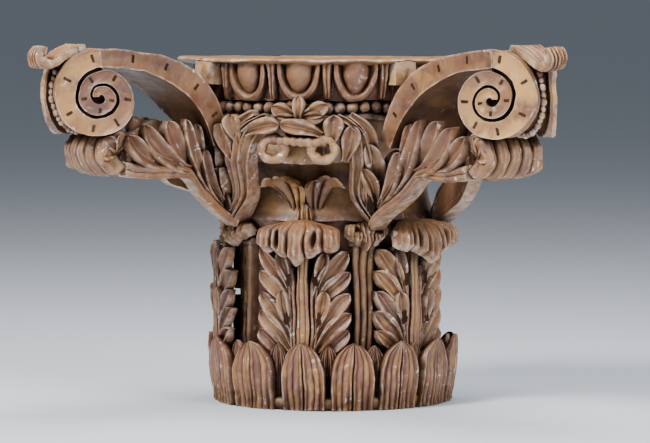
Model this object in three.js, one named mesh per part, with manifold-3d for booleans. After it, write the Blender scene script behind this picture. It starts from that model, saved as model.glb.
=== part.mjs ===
// Carved wooden half capital: a leaf-clad drum with an egg and dart rim and two scrolled corner volutes.
// Millimetres, +Z up, the front faces -Y, and the origin is the column axis on the underside.

import * as THREE from 'three';
import { mergeVertices } from 'three/addons/utils/BufferGeometryUtils.js';
import Module from 'manifold-3d';

const wasm = await Module();
wasm.setup();

// Heights of the drum's tiers, stacked from the underside up
const ringLeafHeight = 87;
const leafTierHeight = 158;
const bellHeight = 67;
const blockHeight = 56;
const filletHeight = 9;
const beadRadius = 8;
const echinusHeight = 53;

// Radii of the drum
const footRadius = 147;
const ringRadius = 159;
const coreRadius = 129;
const bellRadius = 119;
const blockRadius = 156;
const filletRadius = 173;
const rimRadius = 203;
const rimOverhang = 19;
const echinusRadius = rimRadius - rimOverhang;

// The back is sawn flat a little behind the axis
const backDepth = 40;

// The carving of the drum is turned against the volutes, and set out by eye, wider on the left
const carvingTurn = -4.5;
const leftSpacing = 1.13;
const rightSpacing = 0.97;

// Ring of pointed leaves round the foot
const ringLeafCount = 15;
const ringLeafWall = 13;
const ringTroughHeight = 55;

// Acanthus leaves and stalks of the lower tier
const leafBearings = [-72, -6, 56];
const stalkBearings = [-49, 27, 84];
const stubHalfWidth = 24;
const stubHeights = [207, 238];
const stubRelief = 7;
const leafWidth = 104;
const leafletDepth = 1.3;
const leafRadius = 139;
const crownWidth = 90;
const crownDrop = 52;
const crownReach = 46;
const crownWall = 12;
const stalkTopWidth = 31;
const stalkFootWidth = 15;
const stalkRelief = 9;

// Egg and dart rim, and the string of beads under it
const eggMiddle = -3.8;
const eggPitch = 22.1;
const eggWidth = 35;
const eggHeight = 84;
const eggRelief = 12;
const shellWidth = 55;
const shellHeight = 47;
const beadPitch = 5;
const beadsFromMiddle = { left: -8, right: 7 };

// Flower, rings and bar on the front
const frontMiddle = -3;
const flowerRadius = 195;
const flowerWidth = 66;
const ringOuterRadius = 21;
const ringTubeRadius = 7;
const ringSpacing = 64;
const barLength = 82;

// Corner volutes, along each diagonal
const eyeReaches = { left: 385, right: 395 };
const eyeDrop = 46;
const eyeHalfThickness = 50;
const faceTilt = 36.4;
// Radius of the spiral at each quarter turn, from the top outward and in to the middle
const spiralRadii = [61, 57, 47, 40, 34, 27, 22, 18, 14, 9, 5, 2, 0, 0];
const spiralTurns = 2.25;
const spiralGroove = 5;
const filletRise = 5;
const armHalfThicknesses = { left: [32, 46, 50, 51, 50], right: [62, 60, 53, 50, 50] };
const armBandHalfHeight = 12;
const armBandSwell = 5;
const cornerTipReaches = { left: 452, right: 465 };
const cornerTipRise = 15;
const cornerTipWidth = 24;
const seatGap = 0.3;
const seatBlockOverhang = 9;
const seatBlockHalfWidth = 30;

// Corner acanthus leaves and the roll they end in
const rollReach = 357;
const rollRadius = 29;
const rollHalfWidth = 47;
const rollDrop = 69;
const cornerLeafWall = 13;
const innerLeafBearings = [
  [-46, -33, -30, -22, -13],
  [29, 25, 23, 18, 11],
  [77, 81, 84, 89, 95],
];
const cornerRootRadius = 160;
const cornerRootBearings = { left: { front: -47.5, side: -93 }, right: { front: 30.5, side: 76 } };

// Levels that follow from the stack
const ringTop = ringLeafHeight;
const leafTop = ringTop + leafTierHeight;
const blockBottom = leafTop + bellHeight;
const blockTop = blockBottom + blockHeight;
const beadLevel = blockTop + filletHeight + beadRadius;
const echinusBottom = beadLevel + beadRadius;
const rimLevel = echinusBottom + echinusHeight;
const eyeLevel = rimLevel - eyeDrop;
const rollLevel = eyeLevel - rollDrop;

const DEG = Math.PI / 180;
const mix = (a, b, t) => a + (b - a) * t;
const clamp01 = (t) => Math.min(1, Math.max(0, t));
const smooth = (t) => clamp01(t) * clamp01(t) * (3 - 2 * clamp01(t));
const steps = (count) => Array.from({ length: count + 1 }, (_, i) => i / count);

// Closed bodies

function closedBody(points, triangles) {
  let volume = 0;
  const [a, b, c] = [new THREE.Vector3(), new THREE.Vector3(), new THREE.Vector3()];
  for (let i = 0; i < triangles.length; i += 3) {
    a.fromArray(points, 3 * triangles[i]);
    b.fromArray(points, 3 * triangles[i + 1]);
    c.fromArray(points, 3 * triangles[i + 2]);
    volume += a.dot(b.cross(c));
  }
  const ordered = volume < 0 ? [...triangles].reverse() : triangles;
  return new wasm.Manifold(new wasm.Mesh({
    numProp: 3,
    vertProperties: new Float32Array(points),
    triVerts: new Uint32Array(ordered),
  }));
}

function bodyOf(geometry) {
  const bare = geometry.clone();
  bare.deleteAttribute('normal');
  bare.deleteAttribute('uv');
  const merged = mergeVertices(bare, 0.001);
  const index = merged.index.array;
  const triangles = [];
  for (let i = 0; i < index.length; i += 3) {
    const [a, b, c] = [index[i], index[i + 1], index[i + 2]];
    if (a !== b && b !== c && c !== a) triangles.push(a, b, c);
  }
  return closedBody(Array.from(merged.attributes.position.array), triangles);
}

// A sheet with two faces: front and back give a point for u across (-1 to 1) and v along (0 to 1)
function slab(front, back, across, along) {
  const points = [];
  for (const face of [front, back]) {
    for (const v of along) {
      for (const u of across) points.push(...face(u, v));
    }
  }
  const columns = across.length;
  const rows = along.length;
  const at = (face, i, j) => face * columns * rows + j * columns + i;
  const triangles = [];
  const quad = (a, b, c, d) => triangles.push(a, b, c, a, c, d);
  for (let j = 0; j < rows - 1; j += 1) {
    for (let i = 0; i < columns - 1; i += 1) {
      quad(at(0, i, j), at(0, i + 1, j), at(0, i + 1, j + 1), at(0, i, j + 1));
      quad(at(1, i, j), at(1, i, j + 1), at(1, i + 1, j + 1), at(1, i + 1, j));
    }
    quad(at(0, 0, j), at(0, 0, j + 1), at(1, 0, j + 1), at(1, 0, j));
    quad(at(0, columns - 1, j), at(1, columns - 1, j), at(1, columns - 1, j + 1), at(0, columns - 1, j + 1));
  }
  for (let i = 0; i < columns - 1; i += 1) {
    quad(at(0, i, 0), at(1, i, 0), at(1, i + 1, 0), at(0, i + 1, 0));
    quad(at(0, i, rows - 1), at(0, i + 1, rows - 1), at(1, i + 1, rows - 1), at(1, i, rows - 1));
  }
  return closedBody(points, triangles);
}

// A ridged leaflet from a base to a tip, laid on any surface: place(a, b, outward) gives the point
function lobe(place, base, tip, width, rise, lift = 0) {
  const length = Math.hypot(tip[0] - base[0], tip[1] - base[1]);
  const along = [(tip[0] - base[0]) / length, (tip[1] - base[1]) / length];
  const stations = [
    { t: 0, half: 0.5, height: 0.6 },
    { t: 0.62, half: 1, height: 1 },
    { t: 1, half: 0.28, height: 0.4 },
  ];
  const section = [[-1, -leafletDepth], [0, 1], [1, -leafletDepth]];
  const points = [];
  for (const { t, half, height: peak } of stations) {
    const bulge = lift * Math.sin(Math.PI * t * 0.75);
    for (const [side, height] of section) {
      const reach = side * half * width / 2;
      const a = base[0] + along[0] * length * t - along[1] * reach;
      const b = base[1] + along[1] * length * t + along[0] * reach;
      points.push(...place(a, b, bulge + height * rise * (height > 0 ? peak : 1)));
    }
  }
  const sides = section.length;
  const triangles = [];
  for (let k = 0; k < stations.length - 1; k += 1) {
    for (let i = 0; i < sides; i += 1) {
      const next = (i + 1) % sides;
      const [p, q, r, s] = [k * sides + i, k * sides + next, (k + 1) * sides + next, (k + 1) * sides + i];
      triangles.push(p, q, r, p, r, s);
    }
  }
  const last = (stations.length - 1) * sides;
  for (let i = 1; i < sides - 1; i += 1) {
    triangles.push(0, i + 1, i);
    triangles.push(last, last + i, last + i + 1);
  }
  return closedBody(points, triangles);
}

function join(bodies) {
  return wasm.Manifold.union(bodies);
}

// Wood is solid: small pockets shut in between overlapping leaflets are filled
function filled(body) {
  return join(body.decompose().filter((part) => part.volume() > 0));
}

// A round profile of [radius, height] pairs about the axis, turned by a bearing in degrees
function turned(profile, sides, turn = 0) {
  const geometry = new THREE.LatheGeometry(profile.map(([r, z]) => new THREE.Vector2(r, z)), sides);
  geometry.rotateX(Math.PI / 2);
  geometry.rotateZ(turn * DEG);
  return bodyOf(geometry);
}

function box(width, depth, height, x, y, z) {
  return bodyOf(new THREE.BoxGeometry(width, depth, height).translate(x, y, z));
}

// Bearings run from the front towards +X. Points on the drum: arc length, height and distance out
const onDrum = (bearing, radius) => (s, z, out) => {
  const angle = bearing * DEG + s / radius;
  return [(radius + out) * Math.sin(angle), -(radius + out) * Math.cos(angle), z];
};

const carved = (bearing) => carvingTurn + bearing * (bearing < 0 ? leftSpacing : rightSpacing);

// Points at a corner: distance along the diagonal, distance to the front of it, and height
function atCorner(side, rho, tau, z) {
  const bearing = side * (45 * DEG - Math.atan2(tau, rho));
  const radius = Math.hypot(rho, tau);
  return [radius * Math.sin(bearing), -radius * Math.cos(bearing), z];
}

// The drum's body

function drumCore() {
  const roundBody = turned([
    [0, 0],
    [footRadius, 0],
    [footRadius + 3, ringTroughHeight],
    [coreRadius, ringTroughHeight + 4],
    [coreRadius, leafTop - 10],
    [coreRadius + 5, leafTop],
    [bellRadius, leafTop + bellHeight * 0.6],
    [bellRadius + 16, blockBottom],
    [bellRadius + 20, blockTop],
    [filletRadius, blockTop],
    [filletRadius, echinusBottom],
    [echinusRadius, echinusBottom + echinusHeight * 0.45],
    [echinusRadius + 3, rimLevel - 10],
    [rimRadius, rimLevel - 4],
    [rimRadius, rimLevel],
    [0, rimLevel],
  ], 40);
  const facetedBlock = turned([
    [0, blockBottom],
    [blockRadius, blockBottom],
    [blockRadius + 4, blockTop + 2],
    [0, blockTop + 2],
  ], 8, carvingTurn);
  return [roundBody, facetedBlock];
}

// The foot ring: pointed leaves side by side, each with a central rib and a flute to each side
function footRing() {
  const pitch = 360 / ringLeafCount;
  const reach = Math.floor(120 / pitch);
  const bearings = [];
  for (let i = -reach; i <= reach; i += 1) {
    for (const u of [-0.94, -0.6, -0.3, 0, 0.3, 0.6, 0.94]) bearings.push([i * pitch, u]);
  }
  const across = bearings.map((_, i) => i);
  const flare = (v) => mix(footRadius + 1 - ringRadius, 0, smooth(v * 2.2)) + 3 * v * v;
  const arch = (u) => ringTop - 32 * Math.pow(u, 3);
  const relief = (u) => (u > 0.9 ? -7 : 3.2 * Math.cos(u * Math.PI / 0.3));
  const point = (i, v, depth) => {
    const [middle, u] = bearings[i];
    const top = arch(Math.abs(u));
    const place = onDrum(carved(middle + u * pitch / 2), ringRadius);
    return place(0, top * v, flare(v * top / ringTop) + depth(Math.abs(u)));
  };
  const front = (i, v) => point(i, v, (u) => relief(u) * (1 - v * v));
  const back = (i, v) => point(i, v, () => -ringLeafWall);
  return slab(front, back, across, [0, 0.62, 1]);
}

// Leaflets of one half of a lower leaf: base and tip as arc length and height above the foot ring
const leafletPairs = [
  { base: [14, 70], tip: [52, 112], width: 22 },
  { base: [10, 84], tip: [27, 116], width: 19 },
  { base: [16, 38], tip: [53, 82], width: 22 },
  { base: [13, 12], tip: [52, 56], width: 22 },
  { base: [14, -16], tip: [52, 26], width: 24 },
];

function lowerLeaf(bearing, behind) {
  const place = onDrum(bearing, leafRadius);
  const parts = [];
  const wide = leafWidth / (2 * leafletPairs[0].tip[0]);
  for (const side of [-1, 1]) {
    for (const { base, tip, width } of leafletPairs) {
      const from = [side * base[0] * wide, ringTop + base[1]];
      const to = [side * tip[0] * wide, ringTop + tip[1]];
      parts.push(lobe(place, from, to, width, 8, 3));
    }
  }
  const foot = ringTroughHeight - 4;
  const head = leafTop - 20;
  const ribHalf = (v) => mix(20, 15, v);
  const ribRelief = [-2, 5, 0, 8, 0, 5, -2];
  const ribColumns = [-1, -0.7, -0.4, 0, 0.4, 0.7, 1];
  const front = (u, v) => place(u * ribHalf(v), mix(foot, head, v), ribRelief[ribColumns.indexOf(u)] + 2);
  const back = (u, v) => place(u * ribHalf(v), mix(foot, head, v), -behind);
  parts.push(slab(front, back, ribColumns, [0, 1]));
  return parts;
}

// The drooping head of a leaf: it leans out from the drum and hangs in scalloped lobes.
// The head of the leaf at the left end is broken away
function crown(bearing, width, drop, reach, lobes) {
  const base = onDrum(bearing, leafRadius);
  const scallop = (u) => Math.abs(Math.cos(u * lobes * Math.PI / 2));
  const shape = (u, v, inward) => {
    const angle = v * Math.PI * 0.62;
    const out = Math.sin(Math.min(angle, Math.PI / 2)) * reach - reach * 0.12 * u * u;
    const fall = (1 - Math.cos(angle)) * drop * 0.72 * (1 - 0.3 * Math.min(1, Math.abs(u) * 2.2));
    const hang = v * v * 5 * scallop(u);
    const ridge = (scallop(u) - 0.5) * 5 * v;
    const half = width / 2 * mix(0.55, 1, smooth(v * 1.6));
    return base(u * half, leafTop - 2 - fall - hang - 5 * u * u - inward * 0.7, out * 0.95 + ridge - inward);
  };
  const across = steps(lobes * 2).map((t) => 2 * t - 1);
  return slab((u, v) => shape(u, v, 0), (u, v) => shape(u, v, crownWall), across, [0, 0.38, 0.72, 1]);
}

// A ribbed stalk between two leaves, with a small drooping head
function stalk(bearing) {
  const place = onDrum(bearing, coreRadius);
  const half = (v) => mix(stalkFootWidth, stalkTopWidth, v) / 2;
  const relief = [-3, 1, -0.4, 1, -0.4, 1, -3];
  const across = [-1, -0.7, -0.35, 0, 0.35, 0.7, 1];
  const level = (v) => mix(ringTroughHeight, leafTop - 36, v);
  const front = (u, v) => place(u * half(v), level(v), stalkRelief + 3 * relief[across.indexOf(u)]);
  const back = (u, v) => place(u * half(v), level(v), -6);
  const head = crown(bearing, 52, 28, 22, 3);
  return [slab(front, back, across, [0, 1]), head];
}

function lowerTier() {
  const parts = [];
  const [standing, ...whole] = leafBearings;
  const place = onDrum(standing, leafRadius);
  const stub = (out) => (u, v) => place(u * stubHalfWidth, mix(...stubHeights, v), out);
  const behind = coreRadius - leafRadius - 3;
  parts.push(...lowerLeaf(standing, 8), slab(stub(stubRelief), stub(behind), steps(3).map((t) => 2 * t - 1), [0, 1]));
  for (const bearing of whole) {
    parts.push(...lowerLeaf(bearing, leafRadius - coreRadius + 3));
    parts.push(crown(bearing, crownWidth, crownDrop, crownReach, 5));
  }
  for (const bearing of stalkBearings) parts.push(...stalk(bearing));
  return parts;
}

// Two small ruffled leaves on the bell, leaning out, with a stub between them
function bellLeaves() {
  const parts = [];
  for (const side of [-1, 1]) {
    const place = onDrum(carvingTurn, bellRadius + 22);
    const half = (v) => mix(9, 19, smooth(v * 1.3)) * (1 - 0.35 * smooth((v - 0.75) * 4));
    const lean = (v) => 30 * v * v;
    const ruffle = (u) => 4 * Math.cos(u * Math.PI * 2);
    const across = steps(4).map((t) => 2 * t - 1);
    const level = (v) => leafTop - 6 + (bellHeight + 2) * v;
    const front = (u, v) => place(side * 29 + u * half(v), level(v), lean(v) + ruffle(u) * v);
    const wall = (v) => mix(26, 9, v);
    const back = (u, v) => place(side * 29 + u * half(v), level(v) - 4 * v, lean(v) + ruffle(u) * v - wall(v));
    parts.push(slab(front, back, across, steps(3)));
  }
  parts.push(lobe(onDrum(carvingTurn, bellRadius + 16), [2, leafTop - 16], [2, leafTop + 18], 15, 6));
  return parts;
}

// A ridge with a three-sided section along a path of arc length and height on a surface
function ridge(place, path, halfWidth, height) {
  const points = [];
  const triangles = [];
  path.forEach(([s, z], i) => {
    const [before, after] = [path[Math.max(0, i - 1)], path[Math.min(path.length - 1, i + 1)]];
    const length = Math.hypot(after[0] - before[0], after[1] - before[1]);
    const [x, y] = [(after[0] - before[0]) / length, (after[1] - before[1]) / length];
    points.push(...place(s - y * halfWidth, z + x * halfWidth, -leafletDepth));
    points.push(...place(s, z, height));
    points.push(...place(s + y * halfWidth, z - x * halfWidth, -leafletDepth));
  });
  for (let k = 0; k < path.length - 1; k += 1) {
    for (let i = 0; i < 3; i += 1) {
      const next = (i + 1) % 3;
      const [p, q, r, t] = [3 * k + i, 3 * k + next, 3 * k + 3 + next, 3 * k + 3 + i];
      triangles.push(p, q, r, p, r, t);
    }
  }
  const last = 3 * (path.length - 1);
  triangles.push(0, 2, 1, last, last + 1, last + 2);
  return closedBody(points, triangles);
}

// Egg and dart on the rim: each egg hangs in a shell that is open at the top, with darts between
function eggAndDart() {
  const parts = [];
  const top = rimLevel - 5;
  for (const count of [-2, -1, 0, 1]) {
    const bearing = eggMiddle + count * eggPitch;
    const place = onDrum(bearing, echinusRadius);
    const egg = new THREE.SphereGeometry(1, 9, 8).scale(eggWidth / 2, eggRelief + 4, eggHeight / 2);
    const [x, y] = place(0, 0, -4);
    parts.push(bodyOf(egg.rotateZ(bearing * DEG).translate(x, y, top)));
    const shell = steps(8).map((t) => {
      const angle = (t - 0.5) * Math.PI;
      return [shellWidth / 2 * Math.sin(angle), top - shellHeight * Math.cos(angle)];
    });
    parts.push(ridge(place, shell, 5, 9));
  }
  for (const count of [-1.5, -0.5, 0.5, 1.5]) {
    const place = onDrum(eggMiddle + count * eggPitch, echinusRadius);
    parts.push(lobe(place, [0, echinusBottom + 4], [0, top], 9, 9));
  }
  return parts;
}

function beads() {
  const string = [];
  for (let count = beadsFromMiddle.left; count <= beadsFromMiddle.right; count += 1) {
    const ball = new THREE.IcosahedronGeometry(beadRadius);
    const [x, y, z] = onDrum(frontMiddle + count * beadPitch, filletRadius)(0, beadLevel, 1);
    string.push(bodyOf(ball.translate(x, y, z)));
  }
  return string;
}

// Flower at the middle of the front: a bud, two pairs of spreading petals and a stem
function flower() {
  const place = onDrum(frontMiddle, flowerRadius);
  const half = flowerWidth / 2;
  const heart = [0, blockTop + 2];
  const parts = [
    lobe(place, heart, [0, blockTop + 32], 20, 7, 2),
    lobe(place, [0, heart[1] + 2], [0, blockTop - 20], 15, 7, 2),
  ];
  for (const side of [-1, 1]) {
    parts.push(lobe(place, heart, [side * half, blockTop + 16], 18, 6, 3));
    parts.push(lobe(place, heart, [side * half * 0.85, blockTop - 6], 17, 6, 3));
    parts.push(lobe(place, [0, blockTop - 8], [side * half * 0.5, blockTop - 20], 12, 5));
  }
  const backing = (out) => (u, v) => place(u * 13, mix(blockTop - 14, blockTop + 22, v), out);
  parts.push(slab(backing(0), backing(filletRadius - flowerRadius - 20), [-1, 1], [0, 1]));
  return parts;
}

// The ends of the inner leaves roll into two rings, with a bar laid through them
function ringsAndBar() {
  const place = onDrum(frontMiddle, flowerRadius + 3);
  const level = blockTop - 35;
  const parts = [];
  for (const side of [-1, 1]) {
    const hoop = new THREE.TorusGeometry(ringOuterRadius - ringTubeRadius, ringTubeRadius, 5, 9);
    hoop.rotateX(Math.PI / 2).rotateZ((frontMiddle + side * 8) * DEG);
    const [x, y, z] = place(side * ringSpacing / 2, level, 0);
    parts.push(bodyOf(hoop.translate(x, y, z)));
  }
  const bar = new THREE.CylinderGeometry(7, 7, barLength, 6);
  bar.rotateZ(Math.PI / 2).rotateZ(frontMiddle * DEG);
  const [x, y, z] = place(0, level + 10, 2);
  parts.push(bodyOf(bar.translate(x, y, z)));
  const bed = (out) => (u, v) => place(u * ringSpacing * 0.62, mix(level - 6, level + 16, v), out);
  parts.push(slab(bed(-4), bed(blockRadius - flowerRadius - 20), [-1, 0, 1], [0, 1]));
  return parts;
}

// Inner leaf: it climbs from a corner leaf's root and leans out and over towards a ring.
// Its path is a bearing, a height and a radius at each station
function innerLeaf(bearings) {
  const levels = [-10, 28, 72, 108, 122].map((rise) => leafTop + rise);
  const radii = [150, 161, 189, 200, 205];
  const stations = bearings.map((bearing, i) => new THREE.Vector3(bearing, levels[i], radii[i]));
  const curve = new THREE.CatmullRomCurve3(stations);
  const turnsBack = bearings[4] > bearings[0] ? 1 : -1;
  const place = (s, z, out) => {
    const reach = mix(radii[0], radii[4], smooth((z - levels[0]) / (levels[3] - levels[0])));
    return onDrum(0, reach)(s * DEG * reach, z, out);
  };
  const half = (v) => 3 + 5 * Math.sin(Math.PI * Math.min(1, v * 0.7 + 0.1));
  const relief = [0, 5, 0, 8, 0];
  const across = [-1, -0.5, 0, 0.5, 1];
  const face = (ribs, thick) => (u, v) => {
    const { x, y } = curve.getPoint(v);
    return place(x + u * half(v), y, ribs * relief[across.indexOf(u)] - thick(v));
  };
  const parts = [slab(face(1, () => 0), face(0, (v) => mix(34, 16, v)), across, steps(5))];
  for (const [start, lean, rise] of [[0.05, 3, 66], [0.45, 6, 34], [0.68, 5, 20]]) {
    const { x, y } = curve.getPoint(start);
    const degrees = (s, z, out) => place(s / 3, z, out);
    parts.push(lobe(degrees, [3 * x, y], [3 * (x - turnsBack * lean), y + rise], 20, 7, 3));
  }
  return parts;
}

// Corner leaves: each climbs out from the drum on one side of the diagonal and ends in the shared roll

const ribPath = [
  [cornerRootRadius + 58, leafTop + 36],
  [cornerRootRadius + 92, rollLevel - 26],
  [rollReach - 58, rollLevel - 26],
  [rollReach - 10, rollLevel - 20],
];

const cornerLobes = [
  { base: [0.12, 4], tip: [cornerRootRadius + 34, blockTop - 36], width: 25 },
  { base: [0.3, 4], tip: [cornerRootRadius + 70, blockTop - 7], width: 26 },
  { base: [0.44, 4], tip: [cornerRootRadius + 104, blockTop + 2], width: 26 },
  { base: [0.58, 4], tip: [rollReach - 64, blockTop + 3], width: 25 },
  { base: [0.76, 4], tip: [rollReach - 30, blockTop - 6], width: 26 },
];

function cornerLeaf(side, face) {
  const bearings = side < 0 ? cornerRootBearings.left : cornerRootBearings.right;
  const offDiagonal = (45 - side * (face > 0 ? bearings.front : bearings.side)) * DEG;
  const root = { rho: cornerRootRadius * Math.cos(offDiagonal), tau: cornerRootRadius * Math.sin(offDiagonal) };
  const inside = (cornerRootRadius - coreRadius + 10) / cornerRootRadius;
  const path = [[root.rho * (1 - inside), leafTop - 22], [root.rho, leafTop], ...ribPath];
  const rib = new THREE.SplineCurve(path.map(([rho, z]) => new THREE.Vector2(rho, z)));
  const end = face * (rollHalfWidth - 9);
  const spread = (rho) => smooth((rho - root.rho) / (rollReach - 70 - root.rho));
  const tauAt = (rho) => (rho < root.rho ? root.tau * rho / root.rho : mix(root.tau, end, spread(rho)));
  const place = (rho, z, out) => atCorner(side, rho, tauAt(rho) + face * out, z);
  const parts = [];
  for (const { base, tip, width } of cornerLobes) {
    const at = rib.getPoint(base[0]);
    parts.push(lobe(place, [at.x, at.y + base[1]], tip, width, 8, 4));
  }
  const ribRelief = [0, 6, 4, 0, 0];
  const across = [-1, -0.7, -0.3, 0.2, 1];
  const rise = (v) => mix(34, 46, Math.sin(Math.PI * v));
  const point = (u, v, out) => {
    const at = rib.getPoint(v);
    return place(at.x, at.y - 9 + (u + 1) / 2 * rise(v), out);
  };
  const front = (u, v) => point(u, v, ribRelief[across.indexOf(u)]);
  const back = (u, v) => point(u, v, -cornerLeafWall);
  parts.push(slab(front, back, across, steps(6)));
  return parts;
}

// The roll at the corner, ribbed round its girth
function cornerRoll(side) {
  const ridges = 5;
  const rows = steps(ridges * 2).map((t) => 2 * t - 1);
  const swell = (u) => rollRadius * Math.sqrt(Math.max(0.3, 1 - 0.35 * u * u));
  const points = [];
  const triangles = [];
  const girth = 10;
  rows.forEach((u, row) => {
    const radius = swell(u) - (row % 2 ? 0 : 4);
    for (let k = 0; k < girth; k += 1) {
      const angle = k / girth * 2 * Math.PI;
      const rho = rollReach + radius * Math.cos(angle);
      points.push(...atCorner(side, rho, u * rollHalfWidth, rollLevel + radius * Math.sin(angle)));
    }
  });
  for (let row = 0; row < rows.length - 1; row += 1) {
    for (let k = 0; k < girth; k += 1) {
      const next = (k + 1) % girth;
      const [here, above] = [row * girth, (row + 1) * girth];
      const [a, b, c, d] = [here + k, here + next, above + next, above + k];
      triangles.push(a, b, c, a, c, d);
    }
  }
  const last = (rows.length - 1) * girth;
  for (let k = 1; k < girth - 1; k += 1) {
    triangles.push(0, k + 1, k);
    triangles.push(last, last + k, last + k + 1);
  }
  return closedBody(points, triangles);
}

// Raw block at a corner that the volute's arm is set against
function seatBlock(side) {
  const place = (level) => (u, v) => {
    const rho = mix(blockRadius - 30, rimRadius + seatBlockOverhang, v);
    return atCorner(side, rho, u * seatBlockHalfWidth, level);
  };
  return slab(place(rimLevel - 3), place(blockTop - 6), [-1, 1], [0, 1]);
}

// The volutes

const sideName = (side) => (side < 0 ? 'left' : 'right');

function spiralAt(turns) {
  const quarter = Math.min(Math.floor(turns * 4), spiralRadii.length - 2);
  return mix(spiralRadii[quarter], spiralRadii[quarter + 1], turns * 4 - quarter);
}

// A point of a scroll's face: radius and turns from the top, outward over the top, on the front or rear face
function onFace(side, face, radius, turns, out) {
  const angle = turns * 2 * Math.PI;
  const along = radius * Math.sin(angle);
  const up = radius * Math.cos(angle);
  const tilt = faceTilt * DEG;
  const rho = eyeReaches[sideName(side)] + along * Math.cos(tilt) + out * Math.sin(tilt);
  const tau = eyeHalfThickness - along * Math.sin(tilt) + out * Math.cos(tilt);
  return atCorner(side, rho, face * tau, eyeLevel + up);
}

function scrollDisc(side, grow) {
  const count = 24;
  const points = [];
  for (const face of [1, -1]) {
    points.push(...onFace(side, face, 0, 0, grow - filletRise));
    for (let i = 0; i <= count; i += 1) {
      points.push(...onFace(side, face, spiralAt(i / count) + grow, i / count, grow - filletRise));
    }
  }
  const half = count + 2;
  const triangles = [];
  for (let i = 0; i <= count; i += 1) {
    const next = i === count ? 0 : i + 1;
    triangles.push(0, i + 1, next + 1);
    triangles.push(half, half + next + 1, half + i + 1);
    triangles.push(i + 1, half + i + 1, half + next + 1, i + 1, half + next + 1, next + 1);
  }
  return closedBody(points, triangles);
}

// The raised band that coils in on one face, with a groove between its turns
function spiralBand(side, face) {
  const count = 34;
  const edge = (u, v, out) => {
    const turns = v * spiralTurns;
    const inner = spiralAt(turns + 1) + spiralGroove * (1 - 0.5 * v);
    return onFace(side, face, mix(spiralAt(turns), inner, (u + 1) / 2), turns, out);
  };
  const top = (u, v) => edge(u, v, 0);
  const bottom = (u, v) => edge(u, v, -filletRise - 4);
  return slab(top, bottom, [-1, 1], steps(count));
}

// The arm springs from the drum and sweeps over to the top of the scroll
function scrollArm(side, grow) {
  const root = [rimRadius - 6, eyeLevel - 60];
  const crest = [eyeReaches[sideName(side)], eyeLevel + spiralRadii[0] - armBandHalfHeight - 1];
  const between = (share, rise) => [mix(root[0], crest[0], share), eyeLevel + rise];
  const path = [root, between(0.09, -24), between(0.3, 18), between(0.58, 40), crest];
  const curve = new THREE.SplineCurve(path.map(([rho, z]) => new THREE.Vector2(rho, z)));
  const widths = armHalfThicknesses[sideName(side)];
  const spread = new THREE.SplineCurve(widths.map((half, i) => new THREE.Vector2(i, half)));
  const thickness = (v) => spread.getPoint(v).y;
  const edge = (sign, inset) => (u, v) => {
    const at = curve.getPoint(v);
    const along = curve.getTangent(v);
    const half = armBandHalfHeight + armBandSwell * Math.sin(Math.PI * Math.min(1, v * 1.4)) + grow;
    const reach = sign * (half - inset * (Math.abs(u) < 0.7 ? 1 : 0));
    return atCorner(side, at.x - along.y * reach, u * (thickness(v) + grow), at.y + along.x * reach);
  };
  const across = [-1, -0.72, -0.68, 0.68, 0.72, 1];
  return slab(edge(1, grow ? 0 : 4), edge(-1, 0), across, steps(9));
}

// Leaf that covers the outer corner of the scroll and curls up at its tip
function cornerTip(side) {
  const scrollTop = eyeReaches[sideName(side)];
  const tip = cornerTipReaches[sideName(side)];
  const path = [
    [scrollTop + 4, eyeLevel + 55],
    [scrollTop + 26, eyeLevel + 47],
    [tip - 16, rimLevel - 11],
    [tip - 4, rimLevel - 6],
    [tip - 1, rimLevel + 5],
    [tip - 6, rimLevel + cornerTipRise],
  ];
  const curve = new THREE.SplineCurve(path.map(([rho, z]) => new THREE.Vector2(rho, z)));
  const half = (v) => mix(cornerTipWidth, cornerTipWidth * 0.5, smooth(v));
  const face = (thick) => (u, v) => {
    const at = curve.getPoint(v);
    const along = curve.getTangent(v);
    const ruffle = 3 * Math.cos(u * 2 * Math.PI) - thick * (1 - 0.4 * v);
    return atCorner(side, at.x + along.y * -ruffle, u * half(v), at.y + along.x * ruffle);
  };
  return slab(face(0), face(12), steps(4).map((t) => 2 * t - 1), steps(7));
}

function volute(side) {
  return join([
    scrollDisc(side, 0),
    scrollArm(side, 0),
    spiralBand(side, 1),
    spiralBand(side, -1),
    cornerTip(side),
  ]);
}

function voluteSeat(side) {
  return join([scrollDisc(side, seatGap + filletRise), scrollArm(side, seatGap)]);
}

// The whole drum

function drum() {
  const parts = [...drumCore(), footRing(), ...lowerTier(), ...bellLeaves(), ...eggAndDart(), ...beads()];
  parts.push(...flower(), ...ringsAndBar());
  for (const bearings of innerLeafBearings) parts.push(...innerLeaf(bearings));
  for (const side of [-1, 1]) {
    parts.push(seatBlock(side), cornerRoll(side));
    for (const face of [-1, 1]) parts.push(...cornerLeaf(side, face));
  }
  const reach = 2 * cornerTipReaches.right;
  const behind = box(2 * reach, reach, 2 * reach, 0, backDepth + reach / 2, 0);
  const below = box(2 * reach, 2 * reach, reach, 0, 0, -reach / 2);
  const above = box(2 * reach, 2 * reach, reach, 0, 0, rimLevel + reach / 2);
  let body = join(parts).subtract(behind).subtract(below).subtract(above);
  for (const side of [-1, 1]) body = body.subtract(voluteSeat(side));
  return filled(body);
}

function woodMesh(name, body, colour) {
  const mesh = body.getMesh();
  const geometry = new THREE.BufferGeometry();
  geometry.setAttribute('position', new THREE.BufferAttribute(new Float32Array(mesh.vertProperties), 3));
  geometry.setIndex(new THREE.BufferAttribute(new Uint32Array(mesh.triVerts), 1));
  geometry.computeVertexNormals();
  const material = new THREE.MeshStandardMaterial({ color: colour, roughness: 0.7, metalness: 0 });
  const piece = new THREE.Mesh(geometry, material);
  piece.name = name;
  return piece;
}

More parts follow.
